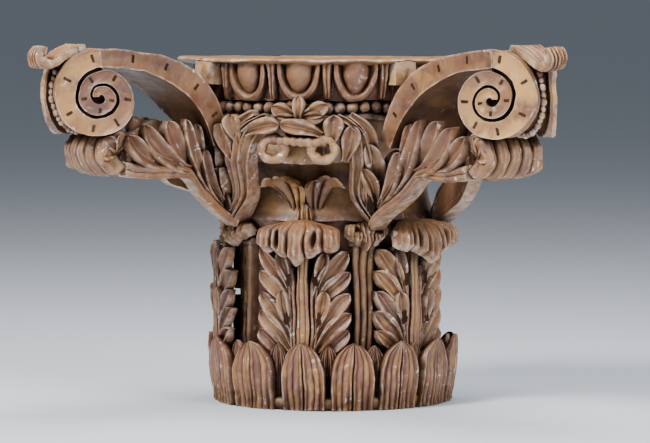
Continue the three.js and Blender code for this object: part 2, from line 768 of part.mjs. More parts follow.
const group = new THREE.Group();
group.add(woodMesh('drum', drum(), 0x6e5044));
group.add(woodMesh('left_volute', volute(-1), 0x75564a));
group.add(woodMesh('right_volute', volute(1), 0x7d5a40));

export default group;
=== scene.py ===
import math

import bpy
import numpy as np
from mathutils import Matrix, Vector


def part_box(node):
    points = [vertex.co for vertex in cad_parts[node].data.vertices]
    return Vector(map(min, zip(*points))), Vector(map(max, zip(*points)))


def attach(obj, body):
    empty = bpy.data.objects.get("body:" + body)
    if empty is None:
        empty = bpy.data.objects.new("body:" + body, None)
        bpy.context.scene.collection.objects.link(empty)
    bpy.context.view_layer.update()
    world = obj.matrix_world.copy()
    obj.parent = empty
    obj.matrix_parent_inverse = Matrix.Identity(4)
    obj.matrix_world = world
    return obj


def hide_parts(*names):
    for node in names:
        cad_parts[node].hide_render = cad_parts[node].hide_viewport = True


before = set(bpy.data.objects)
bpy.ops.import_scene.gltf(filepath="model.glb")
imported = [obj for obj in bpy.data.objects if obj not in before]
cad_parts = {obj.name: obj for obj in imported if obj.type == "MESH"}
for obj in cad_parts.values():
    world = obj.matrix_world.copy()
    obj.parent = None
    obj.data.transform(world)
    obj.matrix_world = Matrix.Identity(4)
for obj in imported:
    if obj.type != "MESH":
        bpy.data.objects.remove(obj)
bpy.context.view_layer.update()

bl_info = {
    "name": "Carved half capital",
    "version": (1, 0, 0),
    "blender": (4, 5, 0),
    "location": "View3D > Sidebar > Capital",
    "description": "Builds a carved and once painted wooden half capital with two corner volutes",
    "category": "Add Mesh",
}

MM = 0.001

# Levels in millimetres above the underside; the rim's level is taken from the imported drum
RIM_LEVEL = round(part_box("drum")[1][2] / MM, 1)
RING_TOP = 87.0
LEAF_TOP = 245.0
BLOCK_BOTTOM = 312.0
BLOCK_TOP = 368.0
BEAD_LEVEL = 385.0
ECHINUS_BOTTOM = 393.0
EYE_LEVEL = RIM_LEVEL - 46.0
ROLL_LEVEL = EYE_LEVEL - 69.0

# Radii of the drum
FOOT_RADIUS = 147.0
RING_RADIUS = 157.0
CORE_RADIUS = 119.0
LEAF_RADIUS = 139.0
BLOCK_RADIUS = 152.0
FILLET_RADIUS = 173.0
ECHINUS_RADIUS = 184.0
RIM_RADIUS = 203.0
FLOWER_RADIUS = 194.0
RING_PAIR_RADIUS = 203.0
DRUM_SIDES = 180

# Bearing of the flower and rings, in degrees to the right of the front
FRONT_MIDDLE = -3.0

# Foot ring: how far round its leaves reach, in degrees, and the gap between two of them
RING_LEAF_REACH = 126
RING_LEAF_GAP = 6.5

# The carving is turned against the volutes and set out by eye, wider on the left
CARVING_TURN = -4.5
LEFT_SPACING = 1.13
RIGHT_SPACING = 0.97

# Corner scrolls, along each diagonal
EYE_REACH = {-1: 385.0, 1: 395.0}
TIP_REACH = {-1: 452.0, 1: 465.0}
EYE_HALF_THICKNESS = 50.0
FACE_TILT = math.radians(36.4)
SPIRAL_RADII = [61, 57, 47, 40, 34, 27, 22, 18, 14, 9, 5, 2, 0, 0]
SPIRAL_TURNS = 2.25
ARM_HALF_THICKNESSES = {-1: [31.0, 45.0, 49.0, 50.0, 49.0], 1: [61.0, 59.0, 52.0, 49.0, 49.0]}

# Corner leaves
ROOT_RADIUS = 160.0
INNER_LEAF_BEARINGS = [(-46, -32.5, -26, -19.5, -12), (29, 20, 18.5, 15, 9), (77, 82, 85, 90, 95)]
ROOT_BEARINGS = {-1: {1: -47.5, -1: -93.0}, 1: {1: 30.5, -1: 76.0}}
ROLL_REACH = 357.0
ROLL_RADIUS = 28.0
ROLL_HALF_WIDTH = 46.0

# Stage, in metres and degrees
FLOOR_REACH = 220.0
CAMERA_HEIGHT = 0.532
CAMERA_TURN = 9.5
CAMERA_PITCH = -3.68
CAMERA_PAN = 0.127
CAMERA_LENS = 199.4
LIGHT_TARGET = (0.0, -0.1, 0.25)
WORLD_COLOUR = (0.62, 0.68, 0.76, 1.0)
WORLD_STRENGTH = 0.24


# Sizes and colours that a user would change

def colour(name, description, default):
    return bpy.props.FloatVectorProperty(name=name, description=description, subtype="COLOR", size=3,
                                         default=default)


class CapitalSizes(bpy.types.PropertyGroup):
    leaf_relief: bpy.props.FloatProperty(
        name="Leaf relief",
        description="How far the rims of the lower leaves' leaflets stand above their hollows",
        default=0.006, min=0.0, max=0.012, unit="LENGTH")
    ring_leaf_count: bpy.props.IntProperty(
        name="Ring leaves",
        description="Leaves in a full turn of the foot ring",
        default=15, min=8, max=30)
    egg_width: bpy.props.FloatProperty(
        name="Egg width",
        description="Width of each egg on the rim",
        default=0.035, min=0.01, max=0.05, unit="LENGTH")
    bead_radius: bpy.props.FloatProperty(
        name="Bead radius",
        description="Radius of the beads under the rim",
        default=0.0077, min=0.003, max=0.012, unit="LENGTH")
    camera_distance: bpy.props.FloatProperty(
        name="Camera distance",
        description="Distance from the camera to the column's axis",
        default=4.68, min=1.0, max=20.0, unit="LENGTH")


class CapitalColours(bpy.types.PropertyGroup):
    paint: colour("Paint", "Worn mauve-brown paint", (0.122, 0.055, 0.038))
    warm_paint: colour("Warm paint", "Redder paint where the light coat is thin", (0.185, 0.070, 0.036))
    ochre: colour("Ochre ground", "Bare ochre ground and old gilding size", (0.50, 0.27, 0.085))
    pale: colour("Rubbed edges", "Pale edges where the paint is rubbed to gesso", (0.70, 0.52, 0.40))
    gesso: colour("Gesso", "White chips of gesso", (0.72, 0.68, 0.62))
    dust: colour("Dust", "Grey-brown dust on the coat", (0.28, 0.185, 0.145))
    # Near-black colour of the painted shade in hollows, creases, holes and under the arms
    hollow_shade: colour("Grime", "Dark dirt in the hollows", (0.018, 0.010, 0.007))
    floor: colour("Floor", "Pale studio floor", (0.66, 0.70, 0.76))


# Small helpers

def mix(a, b, t):
    return a + (b - a) * t


def smooth(t):
    t = np.clip(t, 0.0, 1.0)
    return t * t * (3.0 - 2.0 * t)


def bump(x, centre, width):
    return np.exp(-((x - centre) / width) ** 2)


def carved(bearing):
    """Bearing of a carved form, from its place in an even layout."""
    return CARVING_TURN + bearing * (LEFT_SPACING if bearing < 0 else RIGHT_SPACING)


def on_drum(bearing, radius):
    """Points on the drum: arc length, height and distance out from the radius."""
    def place(s, z, out):
        angle = math.radians(bearing) + s / radius
        reach = radius + out
        return reach * np.sin(angle), -reach * np.cos(angle), z + 0.0 * angle
    return place


def at_corner(side, rho, tau, z):
    """Points at a corner: distance along the diagonal, distance to the front of it, and height."""
    half = math.sqrt(0.5)
    x = side * (rho - tau) * half
    y = -(rho + tau) * half
    return x, y, z + 0.0 * x


def polyline(points, t):
    """A smooth curve through a few points, by cubic interpolation over the chord length."""
    points = np.asarray(points, float)
    gaps = np.r_[0.0, np.cumsum(np.linalg.norm(np.diff(points, axis=0), axis=1))]
    gaps /= gaps[-1]
    slopes = np.gradient(points, gaps, axis=0)
    t = np.clip(np.asarray(t, float), 0.0, 1.0)
    k = np.clip(np.searchsorted(gaps, t, side="right") - 1, 0, len(gaps) - 2)
    step = gaps[k + 1] - gaps[k]
    f = ((t - gaps[k]) / step)[..., None]
    step = step[..., None]
    here = (2 * f ** 3 - 3 * f ** 2 + 1) * points[k] + (f ** 3 - 2 * f ** 2 + f) * step * slopes[k]
    there = (3 * f ** 2 - 2 * f ** 3) * points[k + 1] + (f ** 3 - f ** 2) * step * slopes[k + 1]
    return here + there


def heading(points, t, span=0.02):
    """The unit direction of the smooth curve at each share of its length."""
    ahead = polyline(points, np.clip(t + span, 0, 1)) - polyline(points, np.clip(t - span, 0, 1))
    return ahead / np.linalg.norm(ahead, axis=-1)[..., None]


def hand_wobble(points):
    """Slight unevenness of hand carving, the same on every run."""
    waves = [(0.9, 61.0, 0.3), (0.55, 27.0, 1.7), (0.28, 11.0, 4.1)]
    out = np.zeros_like(points)
    for size, length, phase in waves:
        k = 2 * math.pi / length
        x, y, z = points.T
        out[:, 0] += size * np.sin(k * (0.8 * y + 0.6 * z) + phase) * np.cos(k * 0.5 * x)
        out[:, 1] += size * np.sin(k * (0.7 * x - 0.7 * z) + 2 * phase) * np.cos(k * 0.6 * y)
        out[:, 2] += size * np.sin(k * (0.6 * x + 0.8 * y) + 3 * phase) * np.cos(k * 0.4 * z)
    return points + out


class Carving:
    """Gathers closed shapes in millimetres, then makes one mesh object of them."""

    def __init__(self, name, node):
        self.name = name
        self.node = node
        self.points = []
        self.faces = []
        self.ochre = []
        self.painted_shade = []
        self.count = 0

    def add(self, points, faces, ochre=0.0, painted_shade=0.0):
        """Adds one closed shape, turned the right way out, with its ochre share and its share of painted shade.
        """
        a, b, c, d = (points[faces[:, k]] for k in range(4))
        volume = np.sum(a * np.cross(b, c)) + np.sum(a * np.cross(c, d))
        if volume < 0:
            faces = faces[:, ::-1]
        self.points.append(points)
        self.faces.append(faces + self.count)
        self.ochre.append(np.zeros(len(points)) + ochre)
        self.painted_shade.append(np.zeros(len(points)) + painted_shade)
        self.count += len(points)

    def sheet(self, front, back, columns, rows, ochre=0.0, painted_shade=0.0):
        """A closed sheet: front and back give points for u across, -1 to 1, and v along, 0 to 1."""
        u, v = np.meshgrid(np.linspace(-1, 1, columns), np.linspace(0, 1, rows))
        points = [np.stack(np.broadcast_arrays(*side(u, v)), -1).reshape(-1, 3) for side in (front, back)]
        # Ochre share and share of painted shade; the back of a sheet gets no painted shade
        shade, dark = (np.broadcast_to(share(u, v) if callable(share) else share, u.shape).ravel()
                       for share in (ochre, painted_shade))
        grid = np.arange(u.size).reshape(rows, columns)
        a, b, c, d = (part.ravel() for part in (grid[:-1, :-1], grid[:-1, 1:], grid[1:, 1:], grid[1:, :-1]))
        rim = np.concatenate([grid[0, :-1], grid[:-1, -1], grid[-1, :0:-1], grid[:0:-1, 0]])
        ahead = np.roll(rim, -1)
        faces = [
            np.stack([a, b, c, d], 1),
            np.stack([a, d, c, b], 1) + u.size,
            np.stack([rim, rim + u.size, ahead + u.size, ahead], 1),
        ]
        self.add(np.concatenate(points), np.concatenate(faces), np.tile(shade, 2), np.r_[dark, 0 * dark])

    def slab(self, laid, top, bottom, columns, rows, ochre=0.0, painted_shade=0.0):
        """A sheet of laid(u, v, height) between two heights, each a number or a function of u and v."""
        def side(height):
            return lambda u, v: laid(u, v, height(u, v) if callable(height) else height)
        self.sheet(side(top), side(bottom), columns, rows, ochre, painted_shade)

    def tube(self, rings, ends, ochre=0.0, painted_shade=0.0):
        """A closed tube through rings of points, with one point in the middle of each end."""
        rows, sides = rings.shape[:2]
        grid = np.arange(rows * sides).reshape(rows, sides)
        beside = np.roll(grid, -1, axis=1)
        a, b, c, d = (part.ravel() for part in (grid[:-1], beside[:-1], beside[1:], grid[1:]))
        first = np.full(sides, rows * sides)
        faces = [
            np.stack([a, b, c, d], 1),
            np.stack([first, beside[0], grid[0], grid[0]], 1),
            np.stack([first + 1, grid[-1], beside[-1], beside[-1]], 1),
        ]
        self.add(np.concatenate([rings.reshape(-1, 3), ends]), np.concatenate(faces), ochre, painted_shade)

    def ball(self, centre, radius, squash=(1, 1, 1), rings=10, segments=14, ochre=0.0):
        theta = np.linspace(0, math.pi, rings + 1)[1:-1, None]
        phi = np.linspace(0, 2 * math.pi, segments, endpoint=False)
        body = np.broadcast_arrays(np.sin(theta) * np.cos(phi), np.sin(theta) * np.sin(phi), np.cos(theta))
        size = radius * np.asarray(squash, float)
        poles = np.array([[0, 0, 1], [0, 0, -1]])
        self.tube(np.stack(body, -1) * size + centre, poles * size + centre, ochre)

    def rod(self, spine, half, rows=24, sides=12, ochre=0.0, ridge=0.0, up=(0.0, 0.0, 1.0)):
        """A round bar along a list of points, with a radius for each share of its length."""
        t = np.linspace(0, 1, rows)
        centre = polyline(spine, t)
        along = np.gradient(centre, axis=0)
        along /= np.linalg.norm(along, axis=1)[:, None]
        side = np.cross(along, np.array(up))
        side /= np.linalg.norm(side, axis=1)[:, None]
        lift = np.cross(side, along)
        phi = np.linspace(0, 2 * math.pi, sides, endpoint=False)
        radius = np.array([half(x) for x in t])[:, None] * (1 + ridge * np.cos(3 * phi)[None, :])
        rings = (centre[:, None] + side[:, None] * (radius * np.cos(phi))[..., None]
                 + lift[:, None] * (radius * np.sin(phi))[..., None])
        self.tube(rings, [centre[0], centre[-1]], ochre)

    def finish(self, material):
        """Makes the mesh object, held inside its solid's box, and lets it ride on the root."""
        points = hand_wobble(np.concatenate(self.points))
        low, high = (np.array(corner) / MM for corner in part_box(self.node))
        points = np.clip(points, low, high)
        faces = [list(dict.fromkeys(f)) for f in np.concatenate(self.faces).tolist()]
        mesh = bpy.data.meshes.new(self.name)
        mesh.from_pydata((points * MM).tolist(), [], faces)
        mesh.polygons.foreach_set("use_smooth", [True] * len(mesh.polygons))
        mesh.update()
        mesh.set_sharp_from_angle(angle=math.radians(50))
        # Point attributes read by the material: ochre ground, and the share of painted shade
        for name, values in (("ochre", self.ochre), ("painted_shade", self.painted_shade)):
            layer = mesh.attributes.new(name, "FLOAT", "POINT")
            layer.data.foreach_set("value", np.concatenate(values).astype(np.float32))
        mesh.materials.append(material)
        obj = bpy.data.objects.new(self.name, mesh)
        bpy.context.scene.collection.objects.link(obj)
        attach(obj, "root")
        return obj


# Materials

def node_maker(tree):
    """Makes nodes in one tree, with values or links for their named inputs."""
    def make(kind, inputs=None):
        node = tree.nodes.new(kind)
        for name, value in (inputs or {}).items():
            if isinstance(value, bpy.types.NodeSocket):
                tree.links.new(value, node.inputs[name])
            else:
                node.inputs[name].default_value = value
        return node
    return make


def worn_wood_with_painted_shade(name, ochre_amount=0.35, streak_scale=1.0, warm_shift=0.0):
    """Worn paint over gesso and wood: mottled coat, ochre patches, rubbed edges, and painted shade in hollows
    and holes.
    """
    colours = bpy.context.scene.capital_colours
    material = bpy.data.materials.new(name)
    material.use_nodes = True
    tree = material.node_tree
    tree.nodes.clear()
    make = node_maker(tree)
    where = make("ShaderNodeTexCoord").outputs["Object"]
    stretched = make("ShaderNodeMapping", {"Vector": where, "Scale": (1.0, 1.0, 0.22)}).outputs[0]

    def noise(scale, detail, source=where, distortion=0.0, roughness=0.55):
        return make("ShaderNodeTexNoise", {"Vector": source, "Scale": scale, "Detail": detail,
                                           "Roughness": roughness, "Distortion": distortion}).outputs["Fac"]

    def ramp(value, low, high, start=0.0, end=1.0):
        return make("ShaderNodeMapRange", {"Value": value, "From Min": low, "From Max": high,
                                           "To Min": start, "To Max": end}).outputs["Result"]

    def maths(kind, a, b):
        node = make("ShaderNodeMath", {0: a, 1: b})
        node.operation = kind
        node.use_clamp = True
        return node.outputs[0]

    def blend(a, b, share):
        node = make("ShaderNodeMix")
        node.data_type = "RGBA"
        for place, value in ((0, share), (6, a), (7, b)):
            if isinstance(value, bpy.types.NodeSocket):
                tree.links.new(value, node.inputs[place])
            else:
                node.inputs[place].default_value = (*value, 1.0)
        return node.outputs[2]

    def attribute(of):
        node = make("ShaderNodeAttribute")
        node.attribute_name = of
        return node.outputs["Fac"]

    def relief(height, strength, distance, normal=None):
        inputs = {"Height": height, "Strength": strength, "Distance": distance}
        if normal is not None:
            inputs["Normal"] = normal
        return make("ShaderNodeBump", inputs).outputs[0]

    edge = make("ShaderNodeNewGeometry").outputs["Pointiness"]
    # Occlusion that drives the painted shade in hollows
    hollow = make("ShaderNodeAmbientOcclusion", {"Distance": 0.042})
    hollow.samples = 6

    # The coat: two paints, streaks along the grain and dust
    coat = blend(tuple(colours.paint), tuple(colours.warm_paint),
                 ramp(noise(14.0, 6.0), 0.42 - warm_shift, 0.68 - warm_shift))
    streaks = ramp(noise(62.0 * streak_scale, 5.0, stretched, 0.6), 0.5, 0.68)
    coat = blend(coat, tuple(c * 1.9 for c in colours.paint), maths("MULTIPLY", streaks, 0.5))
    dusty = ramp(noise(31.0, 8.0, where, 0.4, 0.7), 0.52, 0.7)
    coat = blend(coat, tuple(colours.dust), maths("MULTIPLY", dusty, 0.35))

    # Ochre ground where the coat is lost, pale rubbed edges and white chips
    patch = ramp(noise(24.0, 7.0, where, 1.2, 0.65), 0.60 - 0.12 * ochre_amount, 0.66)
    patch = maths("MULTIPLY", patch, ochre_amount)
    bare = maths("MULTIPLY", attribute("ochre"), ramp(noise(40.0, 6.0), 0.34, 0.56))
    coat = blend(coat, tuple(colours.ochre), maths("MAXIMUM", patch, bare))
    rubbed = maths("MULTIPLY", ramp(edge, 0.512, 0.60), ramp(noise(70.0, 7.0, where, 0.3, 0.72), 0.42, 0.62))
    coat = blend(coat, tuple(colours.pale), maths("MULTIPLY", rubbed, 0.85))
    chips = ramp(noise(75.0, 4.0, where, 0.8, 0.6), 0.64, 0.67)
    chips = maths("MULTIPLY", chips, ramp(edge, 0.49, 0.53))
    coat = blend(coat, tuple(colours.gesso), maths("MULTIPLY", chips, 0.8))

    # Painted shade: hollows found by occlusion, concave creases and parts marked for painted shade go near black
    sunk = maths("MAXIMUM", ramp(hollow.outputs["AO"], 0.74, 0.26), ramp(edge, 0.485, 0.42))
    sunk = maths("MAXIMUM", sunk, attribute("painted_shade"))
    coat = blend(coat, tuple(colours.hollow_shade), maths("MULTIPLY", sunk, 0.93))

    grain = relief(noise(210.0, 8.0, stretched, 0.3, 0.7), 0.35, 0.0012)
    shader = make("ShaderNodeBsdfPrincipled", {
        "Base Color": coat,
        # Less specular where shade is painted, so that the painted shade reads as black
        "Specular IOR Level": ramp(sunk, 0.0, 0.8, 0.55, 0.0),
        "Roughness": ramp(noise(50.0, 5.0), 0.3, 0.7, 0.30, 0.58),
        "Normal": relief(noise(95.0, 7.0, where, 0.4, 0.65), 0.4, 0.0016, grain),
    })
    make("ShaderNodeOutputMaterial", {"Surface": shader.outputs[0]})
    return material


# Leaf forms

def leaflet(carving, place, base, tip, width, rise, bend=0.0, lift=0.0, thick=7.0, point=2.6,
            foot=0.42, columns=13, rows=15, ochre=0.0, out=0.0):
    """A spoon-shaped leaflet with rounded rims, a hollow and a vein, laid by place(a, b, out)."""
    base = np.asarray(base, float)
    tip = np.asarray(tip, float)
    across = np.array([-(tip - base)[1], (tip - base)[0]]) / np.linalg.norm(tip - base)
    middle = (base + tip) / 2 + across * bend

    def outline(v):
        swell = mix(foot, 1.0, smooth(v / 0.62))
        close = np.clip(1 - np.clip((v - 0.6) / 0.4, 0, 1) ** point, 0.0, 1.0) ** 0.55
        return np.maximum(swell * close, 0.03)

    def laid(u, v, height):
        w = v[..., None]
        centre = (1 - w) ** 2 * base + 2 * w * (1 - w) * middle + w ** 2 * tip
        ahead = 2 * (1 - w) * (middle - base) + 2 * w * (tip - middle)
        ahead /= np.linalg.norm(ahead, axis=-1)[..., None]
        reach = u * outline(v) * width / 2
        arch = lift * np.sin(math.pi * np.clip(v, 0, 1) * 0.62)
        return place(centre[..., 0] - ahead[..., 1] * reach, centre[..., 1] + ahead[..., 0] * reach,
                     out + arch + height)

    def face(u, v):
        a = np.abs(u)
        rim = np.where(a < 0.8, np.sin(math.pi / 2 * a / 0.8) ** 2,
                       np.cos(math.pi / 2 * (a - 0.8) / 0.2 * 0.97))
        height = rise * (rim * 1.1 - 0.1) + 0.5 * rise * 0.5 * bump(u, 0, 0.12)
        return height * (0.25 + 0.75 * np.sqrt(outline(v)))

    carving.slab(laid, face, lambda u, v: -thick * (1 - 0.35 * u * u), columns, rows, ochre)


def eye(carving, place, s, z, wide, tall, out, lean=0.0):
    """A drilled eye between leaflets: a drop-shaped lens near the surface, all in painted shade to stand for the
    dark of the hole.
    """
    def laid(u, v, depth):
        half = wide / 2 * np.sqrt(np.clip(np.sin(math.pi * v ** 0.75), 0.002, 1))
        return place(s + u * half + lean * (v - 0.5) * tall, z + (v - 0.5) * tall, out + depth)
    carving.slab(laid, lambda u, v: 0.6 * (1 - u * u), -4.0, 7, 11, painted_shade=1.0)


def ring_leaf(carving, bearing, width, radius, top, drop=0.0):
    """An upright, rounded leaf of the foot ring, fluted from its midrib to its rim."""
    place = on_drum(bearing, radius)
    foot = 0.5

    def laid(u, v, height):
        arch = np.clip(1 - np.clip((v - 0.40) / 0.60, 0, 1) ** 2.7, 0, 1) ** 0.66
        flare = mix(FOOT_RADIUS - RING_RADIUS + 5, 1, smooth(v * 1.9)) + 3.5 * v ** 3 - drop
        return place(u * np.maximum(width / 2 * arch, 0.4), mix(foot, top, v), flare + height)

    def relief(u, v):
        a = np.abs(u)
        lines = 3.6 * np.abs(np.cos(math.pi * (a - 0.02) / 0.29)) ** 0.6 - 2.4
        middle = -4.0 * bump(u, 0, 0.035) + 1.4 * bump(a, 0.1, 0.07)
        rim = 2.6 * bump(a, 0.91, 0.055)
        edge = -9.0 * np.clip((a - 0.95) / 0.05, 0, 1) ** 2
        height = lines * (1 - 0.5 * v ** 3) + middle + rim + 1.8 * (1 - a * a) + edge
        return height * (1 - 0.55 * v ** 4)

    carving.slab(laid, relief, lambda u, v: -mix(15, 2.0, v ** 1.3), 53, 26,
                 lambda u, v: 0.15 + 0.35 * np.sin(8 * u + 3 * bearing) * np.cos(5 * v))


def foot_ring(carving):
    """Leaves round the foot, smaller ones behind their gaps, and the thin band they stand on."""
    pitch = 360.0 / bpy.context.scene.capital_sizes.ring_leaf_count
    reach = int(RING_LEAF_REACH // pitch)
    for i in range(-reach, reach + 1):
        spacing = LEFT_SPACING if i < 0 else RIGHT_SPACING
        width = math.radians(pitch * spacing) * RING_RADIUS - RING_LEAF_GAP
        ring_leaf(carving, carved(i * pitch), width, RING_RADIUS, RING_TOP - 0.8 * (i % 2))
    for i in range(-reach, reach):
        ring_leaf(carving, carved((i + 0.5) * pitch), 31.0, RING_RADIUS - 9, RING_TOP - 3.0, 2.0)
    band = [(-12, 0.4), (1, 0.4), (3, 3), (4.5, 12), (3, 15), (-5, 18), (-12, 19)]
    lathe(carving, [(FOOT_RADIUS + out, z) for out, z in band], 120, 0.4)


LEAFLETS = [
    {"base": (-13.0, 136), "tip": (-57, 203), "width": 24, "bend": 6, "out": 0},
    {"base": (-18.0, 156), "tip": (-27, 203), "width": 19, "bend": -2, "out": 2},
    {"base": (-17.0, 126), "tip": (-60, 174), "width": 25, "bend": 8, "out": -1},
    {"base": (-15.0, 88), "tip": (-58, 150), "width": 24, "bend": 6, "out": 0},
    {"base": (-18.0, 106), "tip": (-27, 151), "width": 19, "bend": -2, "out": 2},
    {"base": (-18.0, 76), "tip": (-60, 123), "width": 24, "bend": 7, "out": -1},
    {"base": (-22.0, 62), "tip": (-58, 99), "width": 22, "bend": 4, "out": 0},
]


def lower_leaf(carving, bearing, seed, standing=False):
    """An acanthus leaf of the lower tier: midrib, side ribs and leaflets in two groups."""
    radius = LEAF_RADIUS + (9 if standing else 0)
    place = on_drum(bearing, radius)
    depth = -9.0 if standing else CORE_RADIUS - radius - 2
    relief = bpy.context.scene.capital_sizes.leaf_relief / MM
    rng = np.random.default_rng(seed)
    for side in (-1, 1):
        for entry in LEAFLETS:
            jitter = rng.uniform(-1.5, 1.5, 4)
            base = (-side * entry["base"][0], entry["base"][1])
            tip = (-side * entry["tip"][0] + jitter[0], entry["tip"][1] + jitter[1])
            leaflet(carving, place, base, tip, entry["width"] + jitter[2], rise=relief,
                    bend=side * entry["bend"], lift=4.5, thick=8.0 if standing else 11.0,
                    out=entry["out"] + 0.4 * jitter[3], ochre=0.25 + 0.25 * jitter[0] / 1.5)
        for start, middle, end, half, high in ((10.5, 13.0, 25, 2.9, 5.5), (15.0, 18.5, 34, 2.6, 4.5)):
            path = [(side * start, 52), (side * (start + 1), 110), (side * middle, 155), (side * end, 206)]

            def rib(u, v, height, path=path, half=half):
                centre = polyline(path, v)
                return place(centre[..., 0] + u * half * (0.9 + 0.5 * v ** 3), centre[..., 1], height)

            carving.slab(rib, lambda u, v: high - 3.5 + 3.5 * np.cos(u * 1.4), depth, 7, 26, 0.15)
        if not standing:
            eye(carving, place, side * 17.0, 166, 7, 18, 9.0, -0.1 * side)
            eye(carving, place, side * 19.0, 117, 7.5, 18, 8.5, -0.05 * side)

    def midrib(u, v, height):
        return place(u * mix(8.0, 6.0, v), mix(50, 208, v), height)

    def grooves(u, v):
        return 5.0 + 4.0 * np.cos(u * 1.35) - 1.8 * bump(np.abs(u), 0.45, 0.12)

    carving.slab(midrib, grooves, depth, 21, 20, 0.5)


def stub(carving, bearing):
    """Rough lump left where the head of the leaf at the left end has broken away, and webs beside it."""
    place = on_drum(bearing, LEAF_RADIUS)

    def lump(u, v, out):
        return place(u * 24, mix(206, 240, v), out)

    def rough(u, v):
        waves = 2.4 * np.sin(9 * u + 5 * v) * np.cos(11 * v - 3 * u) + 1.5 * np.sin(23 * u * v + 2)
        return 6.5 - 9 * u * u * v + waves

    carving.slab(lump, rough, -22, 25, 15, 0.5)
    for low, high in ((150, 238), (84, 134)):

        def web(u, v, out, low=low, high=high):
            return place(30 + u * 26, mix(low, high, v) + 4 * np.sin(5 * u), out)

        # The sunk webs carry painted shade
        carving.slab(web, -7.0, -20.0, 9, 7, painted_shade=0.7)


def crown(carving, bearing, width, drop, reach, lobes, top, eyes=(), radius=LEAF_RADIUS):
    """The drooping head of a leaf, ridged from its back to its scalloped lip."""
    base = on_drum(bearing, radius)
    half_lobes = lobes * math.pi / 2

    def scallop(u):
        return np.abs(np.cos(u * half_lobes)) ** 0.7

    def shape(u, v, inward):
        angle = v * math.pi * 0.63
        out = np.sin(np.minimum(angle, math.pi / 2)) * reach - reach * 0.10 * u * u
        rise_out = 0.30 * np.minimum(1.0, np.abs(u) * 2.0)
        fall = (1 - np.cos(angle)) * drop * 0.60 * (1 - rise_out)
        hang = v ** 3 * (4.5 * scallop(u) + 2.0 * bump(u, 0, 0.18))
        curl = 4.0 * smooth((np.abs(u) - 0.55) / 0.4) * v
        ridge = (scallop(u) - 0.6) * 7.0 * np.sqrt(v) * (1 - 0.3 * inward / 12)
        fine = 1.7 * np.cos(u * half_lobes * 6) * np.sqrt(v) * (inward == 0)
        half = width / 2 * mix(0.50, 1.0, smooth(v * 1.7))
        tuck = 5.0 * smooth((np.abs(u) - 0.8) / 0.2) * (1 - 0.4 * v)
        return (u * half, top - 2 - fall - hang + curl - 7 * u * u * (1 - v) - inward * 0.7,
                out * 0.95 + ridge + fine - tuck - inward)

    # Eyes in the lip: sunk 10 mm and given painted shade
    def painted_shade(u, v):
        value = 0.0 * u
        for centre in eyes:
            value = value + bump(u * width / 2, centre, 2.1) * bump(v, 0.76, 0.19)
        return np.clip(value * 1.9, 0, 1)

    def front(u, v):
        s, z, out = shape(u, v, 0.0)
        return base(s, z, out - 10.0 * painted_shade(u, v))

    carving.sheet(front, lambda u, v: base(*shape(u, v, 12.0)), lobes * 24 + 1, 28, 0.3, painted_shade)


def stalk(carving, bearing):
    """A stalk with three ribs between two leaves, and the small leafy crown it carries."""
    place = on_drum(bearing, CORE_RADIUS)

    def shaft(u, v, out):
        return place(u * mix(11.0, 15.5, v), mix(54, LEAF_TOP - 34, v), out)

    def ribs(u, v):
        edge = np.clip((np.abs(u) - 0.88) / 0.12, 0, 1) ** 2
        return 9.0 + 4.2 * np.abs(np.cos(u * 1.5 * math.pi)) ** 0.6 - 9.0 * edge

    def band(u, v, out):
        return place(u * 17, mix(LEAF_TOP - 38, LEAF_TOP - 30, v), out)

    carving.slab(shaft, ribs, -8, 31, 14, 0.35)
    crown(carving, bearing, 50, 26, 26, 3, LEAF_TOP - 3, eyes=(-12.0, 12.0), radius=CORE_RADIUS + 8)
    crown(carving, bearing, 34, 16, 32, 3, LEAF_TOP - 12, radius=CORE_RADIUS + 6)
    carving.slab(band, lambda u, v: 13 + 3 * np.sin(math.pi * v), -4, 9, 7, 0.2)


# Drum

def lathe(carving, profile, sides, ochre=0.0, turn=0.0):
    """A body of revolution round the drum's axis, or a prism where the sides are few."""
    profile = np.asarray(profile, float)
    angle = np.linspace(0, 2 * math.pi, sides, endpoint=False) + math.radians(turn)
    r, z = profile[:, :1], profile[:, 1:]
    rings = np.stack(np.broadcast_arrays(r * np.sin(angle), -r * np.cos(angle), z), -1)
    carving.tube(rings, [[0, 0, profile[0, 1]], [0, 0, profile[-1, 1]]], ochre)


